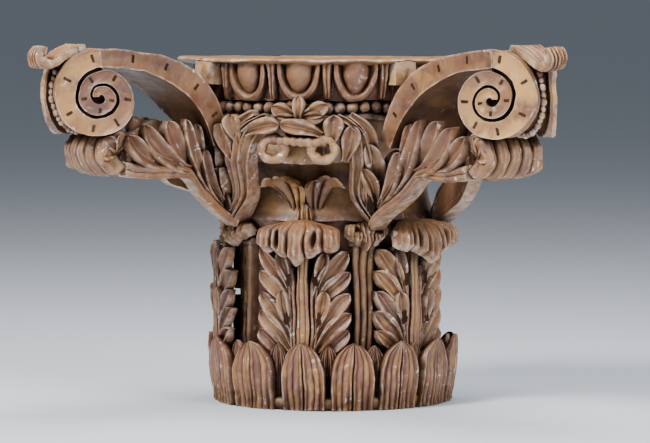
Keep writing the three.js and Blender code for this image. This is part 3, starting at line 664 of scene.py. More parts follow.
def drum_body(carving):
    """The turned body: foot, shaft, bell, fillet, rim and top, with the block behind the flower."""
    foot = [(FOOT_RADIUS - 1, 0), (FOOT_RADIUS + 1, 3), (FOOT_RADIUS + 2, 12), (FOOT_RADIUS - 4, 20),
            (FOOT_RADIUS - 6, 45), (FOOT_RADIUS - 8, 55), (CORE_RADIUS, 57)]
    shaft = [(CORE_RADIUS, z) for z in np.linspace(65, 226, 12)]
    bell = [(116.0 + 18 * (1 - t) ** 2.2 + 22 * t ** 3.2, mix(240, BLOCK_BOTTOM + 6, t))
            for t in np.linspace(0, 1, 14)]
    upper = [(BLOCK_RADIUS - 14, BLOCK_BOTTOM + 7), (BLOCK_RADIUS - 12, BLOCK_TOP - 2),
             (FILLET_RADIUS - 3, BLOCK_TOP), (FILLET_RADIUS, BLOCK_TOP + 1.5),
             (FILLET_RADIUS + 0.5, BLOCK_TOP + 7), (FILLET_RADIUS - 1, BLOCK_TOP + 9),
             (FILLET_RADIUS - 6, BLOCK_TOP + 10.5),
             (FILLET_RADIUS - 6, BEAD_LEVEL + 7), (ECHINUS_RADIUS - 9, ECHINUS_BOTTOM + 1)]
    echinus = [(ECHINUS_RADIUS - 9 + 7 * math.sin(math.pi / 2 * t), mix(ECHINUS_BOTTOM + 2, RIM_LEVEL - 9, t))
               for t in np.linspace(0, 1, 8)]
    rim = [(ECHINUS_RADIUS + 9, RIM_LEVEL - 6)]
    rim += [(RIM_RADIUS - inward, RIM_LEVEL - down) for inward, down in ((5, 4.5), (1.5, 3.5), (0.5, 2), (3, 0))]
    top = [(r, RIM_LEVEL) for r in np.linspace(RIM_RADIUS - 12, 12, 8)]
    profile = foot + shaft + bell + upper + echinus + rim + top
    radii, levels = (np.repeat(values, DRUM_SIDES) for values in zip(*profile))
    bare = np.where(levels > RIM_LEVEL - 7, 0.6, 0.0)
    bare = np.where((levels > LEAF_TOP + 1) & (levels < BLOCK_TOP), 0.55, bare)
    bare = np.where(radii < 40, 1.0, bare)
    lathe(carving, profile, DRUM_SIDES, np.r_[bare, 0.5, 1.0])
    block = [(BLOCK_RADIUS - 4, BLOCK_BOTTOM + 3), (BLOCK_RADIUS - 1, BLOCK_BOTTOM + 2)]
    block += [(BLOCK_RADIUS + 3 * t, mix(BLOCK_BOTTOM + 5, BLOCK_TOP + 1, t)) for t in np.linspace(0, 1, 5)]
    lathe(carving, block, 8, 0.75, CARVING_TURN)
    crack = on_drum(FRONT_MIDDLE - 2.5, 118.0)
    nail = on_drum(9.5, 117.0)

    def slit(u, v, out):
        return crack(u * 2.2, mix(LEAF_TOP + 12, BLOCK_BOTTOM + 4, v), out + 16 * v ** 3)

    def nail_hole(u, v, out):
        return nail(u * 2.8, 264 + (v - 0.5) * 5.6, out)

    # The crack and the nail hole are thin sheets in painted shade
    carving.slab(slit, 1.5, -6, 3, 9, painted_shade=1.0)
    carving.slab(nail_hole, 1.6, -5, 3, 3, painted_shade=1.0)


def bell_leaves(carving):
    """Two small ruffled leaves on the bell that lean out and flare, with a stub between them."""
    place = on_drum(FRONT_MIDDLE - 2.6, 141.0)
    for side in (-1, 1):
        spine = [(side * s, LEAF_TOP + rise) for s, rise in ((13, -8), (14, 20), (20, 44), (30, 60))]

        def laid(u, v, inward, side=side, spine=spine):
            centre = polyline(spine, v)
            half = mix(7.5, 21, smooth(v * 1.1) ** 1.3)
            fold = np.abs(np.cos(u * math.pi * 1.5 + 0.4 * side)) ** 0.7
            lip = smooth((v - 0.72) / 0.28)
            out = -16 + 26 * v ** 1.8 + 9 * lip + 7.0 * (fold - 0.5) * (0.5 + 0.5 * v) - inward
            drop = 10 * lip ** 2 + 13 * u * u * v - 3.5 * fold * v
            return place(centre[..., 0] + u * half, centre[..., 1] - drop, out)

        bare = 0.55 if side < 0 else 0.1
        carving.slab(laid, 0.0, lambda u, v: mix(18.0, 6.5, v), 41, 30,
                     lambda u, v: 0.35 + bare * (u * side < 0.1))
    for s, top, width in ((1.0, 17, 11), (-7.0, 11, 8), (8.0, 12, 8)):
        leaflet(carving, place, (s, LEAF_TOP - 14), (s * 0.8, LEAF_TOP + top), width, thick=20, rise=3.0,
                out=-4, ochre=0.6)


def egg_and_dart(carving):
    """Eggs in their shells with darts between, carved on the front of the rim only."""
    middle, pitch = -3.8, 22.1
    egg_half = bpy.context.scene.capital_sizes.egg_width / MM / 2
    place = on_drum(middle, ECHINUS_RADIUS)
    span = RIM_LEVEL - 4 - ECHINUS_BOTTOM
    first, last = -2.05 * pitch, 1.72 * pitch

    def relief(s, v):
        step = math.radians(pitch) * ECHINUS_RADIUS
        x = s - np.round(s / step) * step
        a = np.abs(x)
        down = 1 - v
        inner = np.sqrt((a / egg_half) ** 1.8 + np.clip(down / 0.86, 0, None) ** 2.3)
        egg = np.where(inner < 1, 12.0 * np.sqrt(np.clip(1 - inner ** 2.2, 0, 1)) - 2.5, -3.5)
        ring = np.sqrt((a / 25.0) ** 2 + np.clip(down / 0.97, 0, None) ** 2.4)
        shell = 10.5 * np.exp(-(np.abs(ring - 0.97) / 0.16) ** 3.5) - 3.5 + 1.8 * bump(ring, 1.09, 0.05)
        beside = step / 2 - a
        width = mix(1.6, 4.6, v)
        dart = 8.0 - 3.2 * np.clip(beside - width, 0, None) - 2.0 * bump(beside, 0, 1.2)
        dart = np.where(v > 0.06, dart, -3.5)
        return np.maximum(np.maximum(egg, shell), dart)

    def reach(u):
        return np.radians(mix(first, last, (u + 1) / 2)) * ECHINUS_RADIUS

    def height(u, v):
        fade = smooth((1 - np.abs(u)) / 0.02)
        return np.maximum(relief(reach(u), v), -3.5) * fade

    def front(u, v):
        tuck = mix(-9.0, 0.0, np.clip(v * 1.6, 0, 1) ** 0.6)
        return place(reach(u), ECHINUS_BOTTOM + v * span, height(u, v) + tuck)

    # Painted shade where the relief is low between eggs, shells and darts
    def painted_shade(u, v):
        return 0.8 * smooth((-1.2 - height(u, v)) / 1.8)

    carving.sheet(front, lambda u, v: place(reach(u), ECHINUS_BOTTOM + v * span, -25.0), 451, 44, 0.2, painted_shade)


def beads(carving):
    """String of beads under the eggs, each a little different in size."""
    radius = bpy.context.scene.capital_sizes.bead_radius / MM
    rng = np.random.default_rng(5)
    for count in range(-8, 8):
        angle = math.radians(FRONT_MIDDLE + count * 5.1)
        size = radius * rng.uniform(0.93, 1.03)
        reach = FILLET_RADIUS - 0.5
        centre = (reach * math.sin(angle), -reach * math.cos(angle), BEAD_LEVEL)
        carving.ball(centre, size, ochre=rng.uniform(0.0, 0.6))


def flower(carving):
    """Small flower over the fillet: a bud, spreading petals and a stem with two small petals."""
    place = on_drum(FRONT_MIDDLE, FLOWER_RADIUS)
    heart = (0, BLOCK_TOP + 3)
    petals = [(0, 33, 16, 6), (-34, 19, 22, 0), (36, 20, 22, 0), (-31, 3, 19, 2), (31, 5, 19, 2)]
    for s, rise, width, out in petals:
        leaflet(carving, place, heart, (s, BLOCK_TOP + rise), width, rise=4.0, lift=4, thick=9, out=out,
                point=2.0, foot=0.5, ochre=0.4)
    leaflet(carving, place, (0, BLOCK_TOP + 5), (0, BLOCK_TOP - 24), 12, rise=3.0, thick=9, out=4, foot=0.7)
    for side in (-1, 1):
        leaflet(carving, place, (0, BLOCK_TOP - 2), (side * 15, BLOCK_TOP - 19), 11, rise=3.0, thick=8, out=2)

    def bed(u, v, out):
        return place(u * 12, mix(BLOCK_TOP - 20, BLOCK_TOP + 20, v), out)

    carving.slab(bed, -4.0, -26.0, 3, 3)


def rings_and_bar(carving):
    """The inner leaves end in two rings, and a short bar runs through them."""
    place = on_drum(FRONT_MIDDLE, RING_PAIR_RADIUS)
    level = BLOCK_TOP - 34
    bearing = math.radians(FRONT_MIDDLE)
    outward = (math.sin(bearing), -math.cos(bearing), 0.0)

    def spot(along, z, out):
        return [float(c) for c in place(np.array(along), np.array(z), np.array(out))]

    for side in (-1, 1):
        loop = [spot(side * (32 + 14.5 * math.sin(turn)), level + 13.5 * math.cos(turn), 2.5 * math.sin(turn))
                for turn in np.linspace(0, 2 * math.pi, 41)]
        carving.rod(loop, lambda t: 5.9 + 0.7 * math.sin(34 * t), 90, 16, 0.45, 0.06, outward)
    bar = [spot(along, level + 10 - 0.03 * along, 4.0 - 0.006 * along * along)
           for along in np.linspace(-34, 34, 9)]
    carving.rod(bar, lambda t: 6.0 + 0.6 * math.sin(46 * t), 70, 16, 0.4, 0.05, outward)

    def bed(u, v, out):
        return place(u * 30, mix(level - 19, level + 10, v), out)

    carving.slab(bed, lambda u, v: -20 - 3 * np.abs(u), -52, 9, 5, 1.0)


def inner_leaf(carving, bearings):
    """The inner half of a corner leaf: ribs that climb to a ring, with hollow spoons beside them."""
    stations = [(-8, 151), (28, 161), (72, 188), (108, 200), (122, 205)]
    levels = [LEAF_TOP + rise for rise, _ in stations]
    radii = [radius for _, radius in stations]
    inward = 1.0 if bearings[-1] > bearings[0] else -1.0
    path = [(3.0 * bearing, z) for bearing, z in zip(bearings, levels)]
    root = path[0][0]

    def place(s, z, out):
        """Places a bearing in thirds of a degree, so that both directions measure about a millimetre."""
        reach = np.interp(z, levels, radii) + out
        angle = np.radians(s / 3.0)
        return reach * np.sin(angle), -reach * np.cos(angle), z

    def relief(u, v):
        a = np.abs(u)
        edge = np.clip((a - 0.85) / 0.15, 0, 1) ** 2
        return 3.8 * np.sin(math.pi / 2 * np.minimum(1, a / 0.75)) ** 2 - 5 * edge

    for shift, half, out, end in ((0, 6.0, 4, 1.0), (10, 5.4, 7, 1.0), (20, 6.4, 5, 0.93)):

        def strip(u, v, height, shift=shift, half=half, out=out, end=end):
            w = end * v
            centre = polyline(path, w)
            ahead = heading(path, w)
            swell = half * (0.55 + 0.6 * np.sin(math.pi * np.clip(w, 0, 1)))
            aside = inward * shift * np.minimum(1, 0.25 + 1.1 * w) + u * swell
            return place(centre[..., 0] - ahead[..., 1] * aside, centre[..., 1] + ahead[..., 0] * aside,
                         out + height)

        carving.slab(strip, relief, lambda u, v: -15 - 8 * (1 - v), 17, 48, 0.3)
    spoons = [
        {"base": (-3, 246), "tip": (24, 341), "width": 25, "bend": 11, "out": 3},
        {"base": (4, 258), "tip": (27, 308), "width": 17, "bend": 9, "out": 9},
        {"base": (46, 318), "tip": (40, 364), "width": 22, "bend": 4, "out": 4},
        {"base": (62, 338), "tip": (58, 376), "width": 21, "bend": 3, "out": 5},
        {"base": (70, 352), "tip": (112, 364), "width": 21, "bend": 7, "out": 7},
    ]
    for spoon in spoons:
        base, tip = ((root + inward * s, z) for s, z in (spoon["base"], spoon["tip"]))
        leaflet(carving, place, base, tip, spoon["width"], rise=6.5, bend=inward * spoon["bend"], lift=5,
                thick=13, out=spoon["out"], rows=24, ochre=0.3, foot=0.45)
    eye(carving, place, root + inward * 11, 265, 11, 26, 15.0)

    def web(u, v, height):
        centre = polyline(path, 0.80 * v)
        far = root + inward * 10 * np.clip(v - 0.3, 0, 1)
        return place(mix(centre[..., 0], far, (u + 1) / 2), centre[..., 1], height)

    # The web behind the ribs carries some painted shade
    carving.slab(web, -3.0, -15.0, 13, 24, 0.1, 0.45)


def corner_leaf(carving, side, face):
    """Outer leaf of a corner: long spoons follow its rib, then fan up and out."""
    off = math.radians(45 - side * ROOT_BEARINGS[side][face])
    root = (ROOT_RADIUS * math.cos(off), ROOT_RADIUS * math.sin(off))
    lift = 15.0 if side < 0 and face < 0 else 0.0
    rib = [(root[0] - 8, LEAF_TOP - 8 + lift), (root[0] + 12, LEAF_TOP + 6 + lift),
           (218, LEAF_TOP + 36 + lift), (252, ROLL_LEVEL - 25 + lift / 2),
           (299, ROLL_LEVEL - 24), (347, ROLL_LEVEL - 18)]
    end = face * (ROLL_HALF_WIDTH - 7)

    def place(rho, z, out):
        spread = smooth((rho - root[0]) / (ROLL_REACH - 70 - root[0]))
        tau = np.where(rho < root[0], root[1] * rho / root[0], mix(root[1], end, spread))
        return at_corner(side, rho, tau + face * out, z)

    def at(share):
        return polyline(rib, np.array(share))

    spoons = [
        {"from": 0.05, "via": 0.14, "tip": (198, BLOCK_TOP - 36), "width": 24, "out": 2},
        {"from": 0.12, "via": 0.27, "tip": (219, BLOCK_TOP - 36), "width": 24, "out": 7},
        {"from": 0.30, "via": 0.38, "tip": (231, BLOCK_TOP - 3), "width": 26, "out": 1},
        {"from": 0.16, "via": 0.47, "tip": (258, BLOCK_TOP + 3), "width": 25, "out": 6},
        {"from": 0.40, "via": 0.60, "tip": (286, BLOCK_TOP + 2), "width": 31, "out": 1},
        {"from": 0.48, "via": 0.76, "tip": (322, BLOCK_TOP - 4), "width": 29, "out": 6},
        {"from": 0.64, "via": 0.92, "tip": (346, BLOCK_TOP - 15), "width": 27, "out": 5},
    ]
    for spoon in spoons:
        start, via = at(spoon["from"]) + (0, 9), at(spoon["via"])
        tip = np.array(spoon["tip"], float)
        middle = (start + tip) / 2
        across = np.array([-(tip - start)[1], (tip - start)[0]]) / np.linalg.norm(tip - start)
        bend = float(np.dot(via + (0, 5) - middle, across))
        leaflet(carving, place, start, tip, spoon["width"], rise=7.5, bend=bend, lift=5, thick=11,
                out=spoon["out"], rows=28, columns=17, foot=0.40, ochre=0.2, point=3.6)
    for low, half, out in ((-6, 5.0, 7.0), (2, 4.2, 9.5)):

        def strand(u, v, height, low=low, half=half, out=out):
            centre = polyline(rib, v)
            return place(centre[..., 0], centre[..., 1] + low * (0.4 + 0.6 * v) + u * half, out + height)

        carving.slab(strand, lambda u, v: 3.2 * np.cos(u * 1.5), -20, 9, 50, 0.3)

    def web(u, v, height):
        centre = polyline(rib, v)
        rise = mix(30, 62, np.sin(math.pi * np.clip(v, 0, 1)))
        return place(centre[..., 0], centre[..., 1] - 4 + (u + 1) / 2 * rise, height)

    carving.slab(web, -1.0, -12.0, 11, 34, 0.2)
    for share, rise in ((0.30, 30), (0.44, 32), (0.60, 34), (0.76, 32)):
        rho, z = at(share)
        eye(carving, place, rho + 3, z + rise, 6, 13, 5.5, 0.5)


def corner_roll(carving, side):
    """The rolled tip that the two leaves of a corner share, ribbed round its girth, with flaring lips."""
    columns, girth = 91, 48
    u, v = np.meshgrid(np.linspace(-1, 1, columns), np.linspace(0, 1, girth, endpoint=False), indexing="ij")
    angle = v * 2 * math.pi
    ridge = np.abs(np.cos(u * 2.5 * math.pi)) ** 0.6
    lip = smooth((np.abs(u) - 0.72) / 0.2)
    swell = ROLL_RADIUS * np.sqrt(np.maximum(0.3, 1 - 0.50 * u * u)) + 3.5 * lip
    wave = 1.8 * np.cos(6 * angle + 2 * u)
    fine = 0.5 * np.cos(u * 15 * math.pi)
    radius = swell + (7.5 * ridge - 4.6) * (1 - 0.6 * lip) + fine + wave * (0.35 + lip)
    skin = np.stack(at_corner(side, ROLL_REACH + radius * np.cos(angle),
                              u * ROLL_HALF_WIDTH + 2.5 * np.sin(angle * 3) * lip,
                              ROLL_LEVEL + radius * np.sin(angle)), -1)
    ends = [np.stack(at_corner(side, ROLL_REACH, np.array(face * (ROLL_HALF_WIDTH - 13)), ROLL_LEVEL))
            for face in (-1, 1)]
    # Painted shade in the grooves between the ribs, stronger on the outer side, and on the ends
    dark = 0.7 * (1 - ridge) ** 3 * (np.abs(u) < 0.8) * (0.6 + 0.4 * np.cos(angle))
    carving.tube(skin, ends, 0.35, np.r_[dark.ravel(), 0.9, 0.9])
    for face in (-1, 1):

        def place(rho, z, out, face=face):
            return at_corner(side, rho, face * (ROLL_HALF_WIDTH - 12 + out), z)

        for turn in range(5):
            bearing = math.radians(210 - 52 * turn)
            tip = (ROLL_REACH + 25 * math.cos(bearing), ROLL_LEVEL + 25 * math.sin(bearing))
            leaflet(carving, place, (ROLL_REACH - 3, ROLL_LEVEL - 2), tip, 19, lift=8, thick=9, rise=4.5,
                    ochre=0.5)
        eye(carving, place, ROLL_REACH - 8, ROLL_LEVEL - 4, 8, 14, 9.5)


def seat_block(carving, side):
    """Raw block at the corner of the rim that the volute's arm is glued to."""
    aside = 30.0 if side > 0 else 2.0

    def place(u, v, level):
        return at_corner(side, mix(150.0, 206.0 - 0.25 * aside, v), aside + u * 15.0, level)

    carving.slab(place, RIM_LEVEL - 3.5, RIM_LEVEL - 33, 9, 9, 1.0)


# Volutes

def on_face(side, face, radius, turns, out):
    """A point on a scroll's tilted face, by radius and turns round its eye."""
    angle = turns * 2 * math.pi
    along = radius * np.sin(angle)
    rho = EYE_REACH[side] + along * math.cos(FACE_TILT) + out * math.sin(FACE_TILT)
    tau = EYE_HALF_THICKNESS - along * math.sin(FACE_TILT) + out * math.cos(FACE_TILT)
    return at_corner(side, rho, face * tau, EYE_LEVEL + radius * np.cos(angle))


def spiral_at(turns):
    """Radius of the spiral after so many turns from the top."""
    return np.interp(np.asarray(turns) * 4, np.arange(len(SPIRAL_RADII)), SPIRAL_RADII)


def scroll_body(carving, side):
    """Wedge between the two faces, with a channel in painted shade and a string of husks round its outer edge.
    """
    sunk = -11.0
    columns, rows = 45, 130
    u, v = np.meshgrid(np.linspace(-1, 1, columns), np.linspace(0, 1, rows))
    depth = spiral_at(v) - 0.6 - 7.0 * smooth((0.62 - np.abs(u)) / 0.10)
    rear, front = (np.stack(on_face(side, face, depth, v, -4.0), -1) for face in (-1, 1))
    skin = mix(rear, front, ((u + 1) / 2)[..., None])
    brims = [np.stack(on_face(side, face, spiral_at(v[:, :1]) - 5.0, v[:, :1], sunk), -1) for face in (-1, 1)]
    centres = [np.stack(on_face(side, face, 0.0, 0.0, sunk)) for face in (-1, 1)]
    points = np.concatenate([brims[0], skin, brims[1]], axis=1).reshape(-1, 3)
    # Painted shade in the channel, full on the brims and the eye's centres
    dark = np.pad(0.85 * smooth((0.66 - np.abs(u)) / 0.06), ((0, 0), (1, 1)), constant_values=1.0)
    grid = np.arange(len(points)).reshape(rows, columns + 2)
    a, b, c, d = (part.ravel() for part in (grid[:-1, :-1], grid[:-1, 1:], grid[1:, 1:], grid[1:, :-1]))
    first = np.full(rows - 1, len(points))
    start, end = grid[0], grid[-1]
    faces = [
        np.stack([a, b, c, d], 1),
        np.stack([first, grid[:-1, 0], grid[1:, 0], grid[1:, 0]], 1),
        np.stack([first + 1, grid[1:, -1], grid[:-1, -1], grid[:-1, -1]], 1),
        np.stack([start[:-1], end[:-1], end[1:], start[1:]], 1),
        np.array([[first[0], end[0], start[0], start[0]], [first[0] + 1, start[-1], end[-1], end[-1]]]),
    ]
    carving.add(np.concatenate([points, centres]), np.concatenate(faces), 0.25, np.r_[dark.ravel(), 1.0, 1.0])
    for k in range(22):
        turns = 0.10 + 0.026 * k
        rear, front = (np.stack(on_face(side, face, spiral_at(turns) - 5.0, turns, -4.0)) for face in (-1, 1))
        carving.ball((rear + front) / 2, 4.6 - 0.8 * (k % 2), (1, 1, 1.15), 7, 9, 0.2)


def scroll_face(carving, side, face):
    """The coiled band: a thin rim at its edge, a flat band and a deep groove beside the next coil."""
    def laid(u, v, out):
        turns = v * SPIRAL_TURNS
        inner = spiral_at(turns + 1) + 5.0 * (1 - 0.5 * v)
        return on_face(side, face, mix(spiral_at(turns), inner, (u + 1) / 2), turns, out)

    def profile(u, v):
        turns = v * SPIRAL_TURNS
        x = (u + 1) / 2
        width = np.maximum(spiral_at(turns) - spiral_at(turns + 1) - 5.0 * (1 - 0.5 * v), 1.0)
        rim = bump(x, 0.0, np.clip(1.6 / width, 0.03, 0.3))
        return 1.5 * rim - 1.5 - 1.3 * np.sin(math.pi * np.clip((x - 0.05) / 0.95, 0, 1))

    bare = 0.5 if side > 0 else 0.0
    carving.slab(laid, profile, lambda u, v: -mix(5.0, 13.0, smooth((u + 1) / 0.5)), 25, 280,
                 lambda u, v: 0.2 + 0.45 * np.sin(7 * v + 1) + bare)
    slots(carving, side, face)


def slots(carving, side, face):
    """Short radial tool slots spaced along the band, in painted shade."""
    for turns in (0.034, 0.173, 0.32, 0.463, 0.589, 0.741, 0.903, 1.086, 1.26, 1.49, 1.71):
        outer = float(spiral_at(turns))
        width = outer - float(spiral_at(turns + 1)) - 5.0
        middle = outer - 0.45 * width

        def slot(u, v, out, middle=middle, width=width, turns=turns):
            radius = middle + u * min(4.6, 0.26 * width)
            return on_face(side, face, radius, turns + (v - 0.5) * 3.2 / (2 * math.pi * middle), out)

        carving.slab(slot, -1.9, -11.0, 3, 3, painted_shade=1.0)


ARM_ROOT = (RIM_RADIUS - 6, EYE_LEVEL - 60)


def arm_path(side):
    """The arm's middle line, from the block on the rim over to the crest of the scroll."""
    crest = (EYE_REACH[side], EYE_LEVEL + SPIRAL_RADII[0] - 11.5)
    between = [(mix(ARM_ROOT[0], crest[0], share), EYE_LEVEL + rise)
               for share, rise in ((0.09, -24), (0.30, 18), (0.58, 40))]
    return [ARM_ROOT, *between, crest]


def scroll_arm(carving, side):
    """The arm as one swept section: a hollowed band with thin rims on each side and over the top."""
    path = arm_path(side)
    t = np.linspace(0, 1, 90)
    centre = polyline(path, t)
    along = np.gradient(centre, axis=0)
    along /= np.linalg.norm(along, axis=1)[:, None]
    half_band = 11.5 + 5 * np.sin(math.pi * np.clip(t * 1.4, 0, 1))
    widths = ARM_HALF_THICKNESSES[side]
    stations = np.linspace(0, 1, len(widths))
    flank = [(1, -1), (1, -0.90), (0.975, -0.80), (0.965, 0.0),
             (0.975, 0.72), (1, 0.84), (1, 0.97), (0.97, 1)]
    over = [(0.80, 1), (0.75, 0.72), (0.36, 0.68), (0.30, 0.90), (0.0, 0.97)]
    section = flank + over
    section += [(-x, y) for x, y in reversed(section[:-1])]
    section = np.array(section + [(-0.93, -0.90), (0.93, -0.90)])
    reach = section[:, 1] * half_band[:, None]
    rho = centre[:, :1] - along[:, 1:] * reach
    z = centre[:, 1:] + along[:, :1] * reach
    tau = section[:, 0] * np.interp(t, stations, widths)[:, None]
    rings = np.stack(at_corner(side, rho, tau, z), -1)
    # Painted shade on the underside of the arm
    soffit = np.tile((section[:, 1] < -0.85) & (np.abs(section[:, 0]) < 0.95), len(t))
    carving.tube(rings, [rings[0].mean(0), rings[-1].mean(0)], 0.25, np.r_[0.45 * soffit, 0.0, 0.0])
    for face in (-1, 1):
        for share in (0.16, 0.36, 0.58, 0.80):
            middle = polyline(path, np.array(share))
            ahead = polyline(path, np.array(share + 0.01)) - middle
            ahead /= np.linalg.norm(ahead)
            wide = float(np.interp(share, stations, widths))

            def slot(u, v, depth, middle=middle, ahead=ahead, wide=wide, face=face):
                across, onward = u * 4.6 + 2, (v - 0.5) * 3.4
                rho = middle[0] - ahead[1] * across + ahead[0] * onward
                z = middle[1] + ahead[0] * across + ahead[1] * onward
                return at_corner(side, rho, face * (0.967 * wide + depth), z)

            # The slots on the arm's sides are in painted shade
            carving.slab(slot, 0.6, -5, 3, 3, painted_shade=1.0)


def corner_tip(carving, side):
    """Leaf that covers the outer corner of the scroll and curls up in a small ridged tip."""
    top, tip = EYE_REACH[side], TIP_REACH[side] - 1
    path = [(top + 2, EYE_LEVEL + 58), (top + 26, EYE_LEVEL + 49), (tip - 16, RIM_LEVEL - 9),
            (tip - 4, RIM_LEVEL - 4), (tip - 1, RIM_LEVEL + 6), (tip - 7, RIM_LEVEL + 14),
            (tip - 13, RIM_LEVEL + 12)]

    def laid(u, v, inward):
        centre = polyline(path, v)
        ahead = heading(path, v)
        folds = np.abs(np.cos(u * 2.5 * math.pi)) ** 0.7
        lip = smooth((v - 0.45) / 0.3)
        fine = 1.1 * np.cos(u * 9 * math.pi) * lip
        out = 3.5 * (folds - 0.5) * (0.25 + lip) + fine - inward * (1 - 0.35 * v)
        half = mix(22, 11, smooth(v * 1.3)) + 1.5 * lip
        return at_corner(side, centre[..., 0] + ahead[..., 1] * out, u * half,
                         centre[..., 1] - ahead[..., 0] * out)

    carving.slab(laid, -1.5, 9.0, 61, 46, 0.45)


# Operators

def purge(name):
    """Removes an object of an earlier run."""
    old = bpy.data.objects.get(name)
    if old is not None:
        bpy.data.objects.remove(old, do_unlink=True)


class CAPITAL_OT_drum(bpy.types.Operator):
    """Carve the drum's body with its rim, beads, flower and rings"""
    bl_idname = "capital.drum"
    bl_label = "Drum"

    def execute(self, context):
        purge("carved_drum")
        carving = Carving("carved_drum", "drum")
        drum_body(carving)
        bell_leaves(carving)
        egg_and_dart(carving)
        beads(carving)
        flower(carving)
        rings_and_bar(carving)
        for side in (-1, 1):
            seat_block(carving, side)
        obj = carving.finish(worn_wood_with_painted_shade("worn_drum", 0.45))
        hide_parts("drum")
        return {"FINISHED"}


class CAPITAL_OT_foot_ring(bpy.types.Operator):
    """Carve the ring of pointed, fluted leaves round the foot"""
    bl_idname = "capital.foot_ring"
    bl_label = "Foot ring"

    def execute(self, context):
        purge("foot_ring")
        carving = Carving("foot_ring", "drum")
        foot_ring(carving)
        carving.finish(worn_wood_with_painted_shade("worn_foot_ring", 0.5, 1.6, 0.05))
        return {"FINISHED"}


class CAPITAL_OT_lower_leaves(bpy.types.Operator):
    """Carve the acanthus leaves and stalks of the lower tier"""
    bl_idname = "capital.lower_leaves"
    bl_label = "Lower leaves"

    def execute(self, context):
        purge("lower_leaves")
        carving = Carving("lower_leaves", "drum")
        lower_leaf(carving, -72.0, 11, standing=True)
        stub(carving, -72.0)
        for seed, bearing in enumerate((-6.0, 56.0)):
            lower_leaf(carving, bearing, 12 + seed)
            crown(carving, bearing, 90, 52, 45, 5, LEAF_TOP, eyes=(-19.5, 18.5))
        for bearing in (-50.5, 27.0, 84.0):
            stalk(carving, bearing)
        carving.finish(worn_wood_with_painted_shade("worn_lower_leaves", 0.4))
        return {"FINISHED"}


class CAPITAL_OT_corner_leaves(bpy.types.Operator):
    """Carve the corner leaves, their rolls and the inner leaves that end in the rings"""
    bl_idname = "capital.corner_leaves"
    bl_label = "Corner leaves"

    def execute(self, context):
        purge("corner_leaves")
        carving = Carving("corner_leaves", "drum")
        for bearings in INNER_LEAF_BEARINGS:
            inner_leaf(carving, bearings)
        for side in (-1, 1):
            corner_roll(carving, side)
            for face in (-1, 1):
                corner_leaf(carving, side, face)
        carving.finish(worn_wood_with_painted_shade("worn_corner_leaves", 0.3))
        return {"FINISHED"}


class CAPITAL_OT_volutes(bpy.types.Operator):
    """Carve the two corner volutes with their arms, spiral faces and leafy tips"""
    bl_idname = "capital.volutes"
    bl_label = "Volutes"

    def execute(self, context):
        for node, side, ochre in (("left_volute", -1, 0.3), ("right_volute", 1, 0.6)):
            name = node.replace("_volute", "_scroll")
            purge(name)
            carving = Carving(name, node)
            scroll_body(carving, side)
            scroll_arm(carving, side)
            corner_tip(carving, side)
            for face in (-1, 1):
                scroll_face(carving, side, face)
            obj = carving.finish(worn_wood_with_painted_shade("worn_" + name, ochre))
            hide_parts(node)
        return {"FINISHED"}


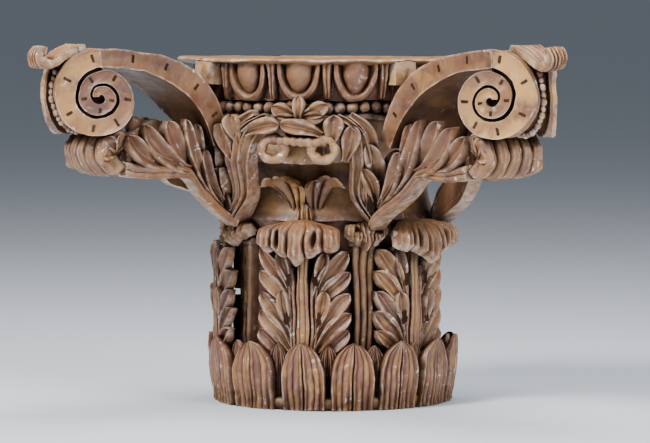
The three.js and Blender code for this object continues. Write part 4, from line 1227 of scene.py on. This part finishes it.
class CAPITAL_OT_stage(bpy.types.Operator):
    """Set the pale floor, the soft lights and the camera"""
    bl_idname = "capital.stage"
    bl_label = "Stage"

    def execute(self, context):
        scene = context.scene
        colours = scene.capital_colours
        sizes = scene.capital_sizes
        purge("floor")
        mesh = bpy.data.meshes.new("floor")
        corners = [(FLOOR_REACH * x, FLOOR_REACH * y, 0.0) for x, y in ((-1, -1), (1, -1), (1, 1), (-1, 1))]
        mesh.from_pydata(corners, [], [(0, 1, 2, 3)])
        floor = bpy.data.objects.new("floor", mesh)
        material = bpy.data.materials.new("pale_floor")
        material.use_nodes = True
        shader = material.node_tree.nodes["Principled BSDF"]
        shader.inputs["Roughness"].default_value = 0.7
        shader.inputs["Base Color"].default_value = (*colours.floor, 1.0)
        mesh.materials.append(material)
        scene.collection.objects.link(floor)
        lights = [
            ("key_light", (-1.5, -2.1, 2.3), 0.9, 165.0, (1.0, 0.97, 0.94)),
            ("fill_light", (2.3, -1.9, 1.3), 1.1, 78.0, (0.95, 0.97, 1.0)),
            ("top_light", (0.2, 0.0, 2.4), 1.2, 46.0, (1.0, 1.0, 1.0)),
        ]
        for name, place, size, power, colour in lights:
            purge(name)
            light = bpy.data.lights.new(name, "AREA")
            light.size = size
            light.energy = power
            light.color = colour
            lamp = bpy.data.objects.new(name, light)
            lamp.location = place
            aim = Vector(LIGHT_TARGET) - Vector(place)
            lamp.rotation_euler = aim.to_track_quat("-Z", "Y").to_euler()
            scene.collection.objects.link(lamp)
        world = bpy.data.worlds.new("studio_air")
        world.use_nodes = True
        background = world.node_tree.nodes["Background"]
        background.inputs["Color"].default_value = WORLD_COLOUR
        background.inputs["Strength"].default_value = WORLD_STRENGTH
        scene.world = world
        purge("camera")
        camera = bpy.data.cameras.new("camera")
        camera.sensor_width = 36.0
        camera.lens = CAMERA_LENS
        camera.clip_end = 500.0
        stand = bpy.data.objects.new("camera", camera)
        turn = math.radians(CAMERA_TURN)
        distance = sizes.camera_distance
        stand.location = (distance * math.sin(turn), -distance * math.cos(turn), CAMERA_HEIGHT)
        stand.rotation_euler = (math.radians(90 + CAMERA_PITCH), 0.0, turn + math.radians(CAMERA_PAN))
        scene.collection.objects.link(stand)
        scene.camera = stand
        return {"FINISHED"}


class CAPITAL_PT_panel(bpy.types.Panel):
    """Lists the steps that build the capital"""
    bl_idname = "CAPITAL_PT_panel"
    bl_label = "Capital"
    bl_space_type = "VIEW_3D"
    bl_region_type = "UI"
    bl_category = "Capital"

    def draw(self, context):
        layout = self.layout
        for name in ("leaf_relief", "ring_leaf_count", "egg_width", "bead_radius", "camera_distance"):
            layout.prop(context.scene.capital_sizes, name)
        for name in ("paint", "warm_paint", "ochre", "pale", "gesso", "dust", "hollow_shade", "floor"):
            layout.prop(context.scene.capital_colours, name)
        for step in STEPS:
            layout.operator(step.bl_idname)


STEPS = (CAPITAL_OT_drum, CAPITAL_OT_foot_ring, CAPITAL_OT_lower_leaves, CAPITAL_OT_corner_leaves,
         CAPITAL_OT_volutes, CAPITAL_OT_stage)
CLASSES = (CapitalSizes, CapitalColours, *STEPS, CAPITAL_PT_panel)


def register():
    for kind in CLASSES:
        bpy.utils.register_class(kind)
    bpy.types.Scene.capital_sizes = bpy.props.PointerProperty(type=CapitalSizes)
    bpy.types.Scene.capital_colours = bpy.props.PointerProperty(type=CapitalColours)


def unregister():
    del bpy.types.Scene.capital_colours
    del bpy.types.Scene.capital_sizes
    for kind in reversed(CLASSES):
        bpy.utils.unregister_class(kind)


def main():
    register()
    bpy.ops.capital.drum()
    bpy.ops.capital.foot_ring()
    bpy.ops.capital.lower_leaves()
    bpy.ops.capital.corner_leaves()
    bpy.ops.capital.volutes()
    bpy.ops.capital.stage()


if __name__ == "__main__":
    main()
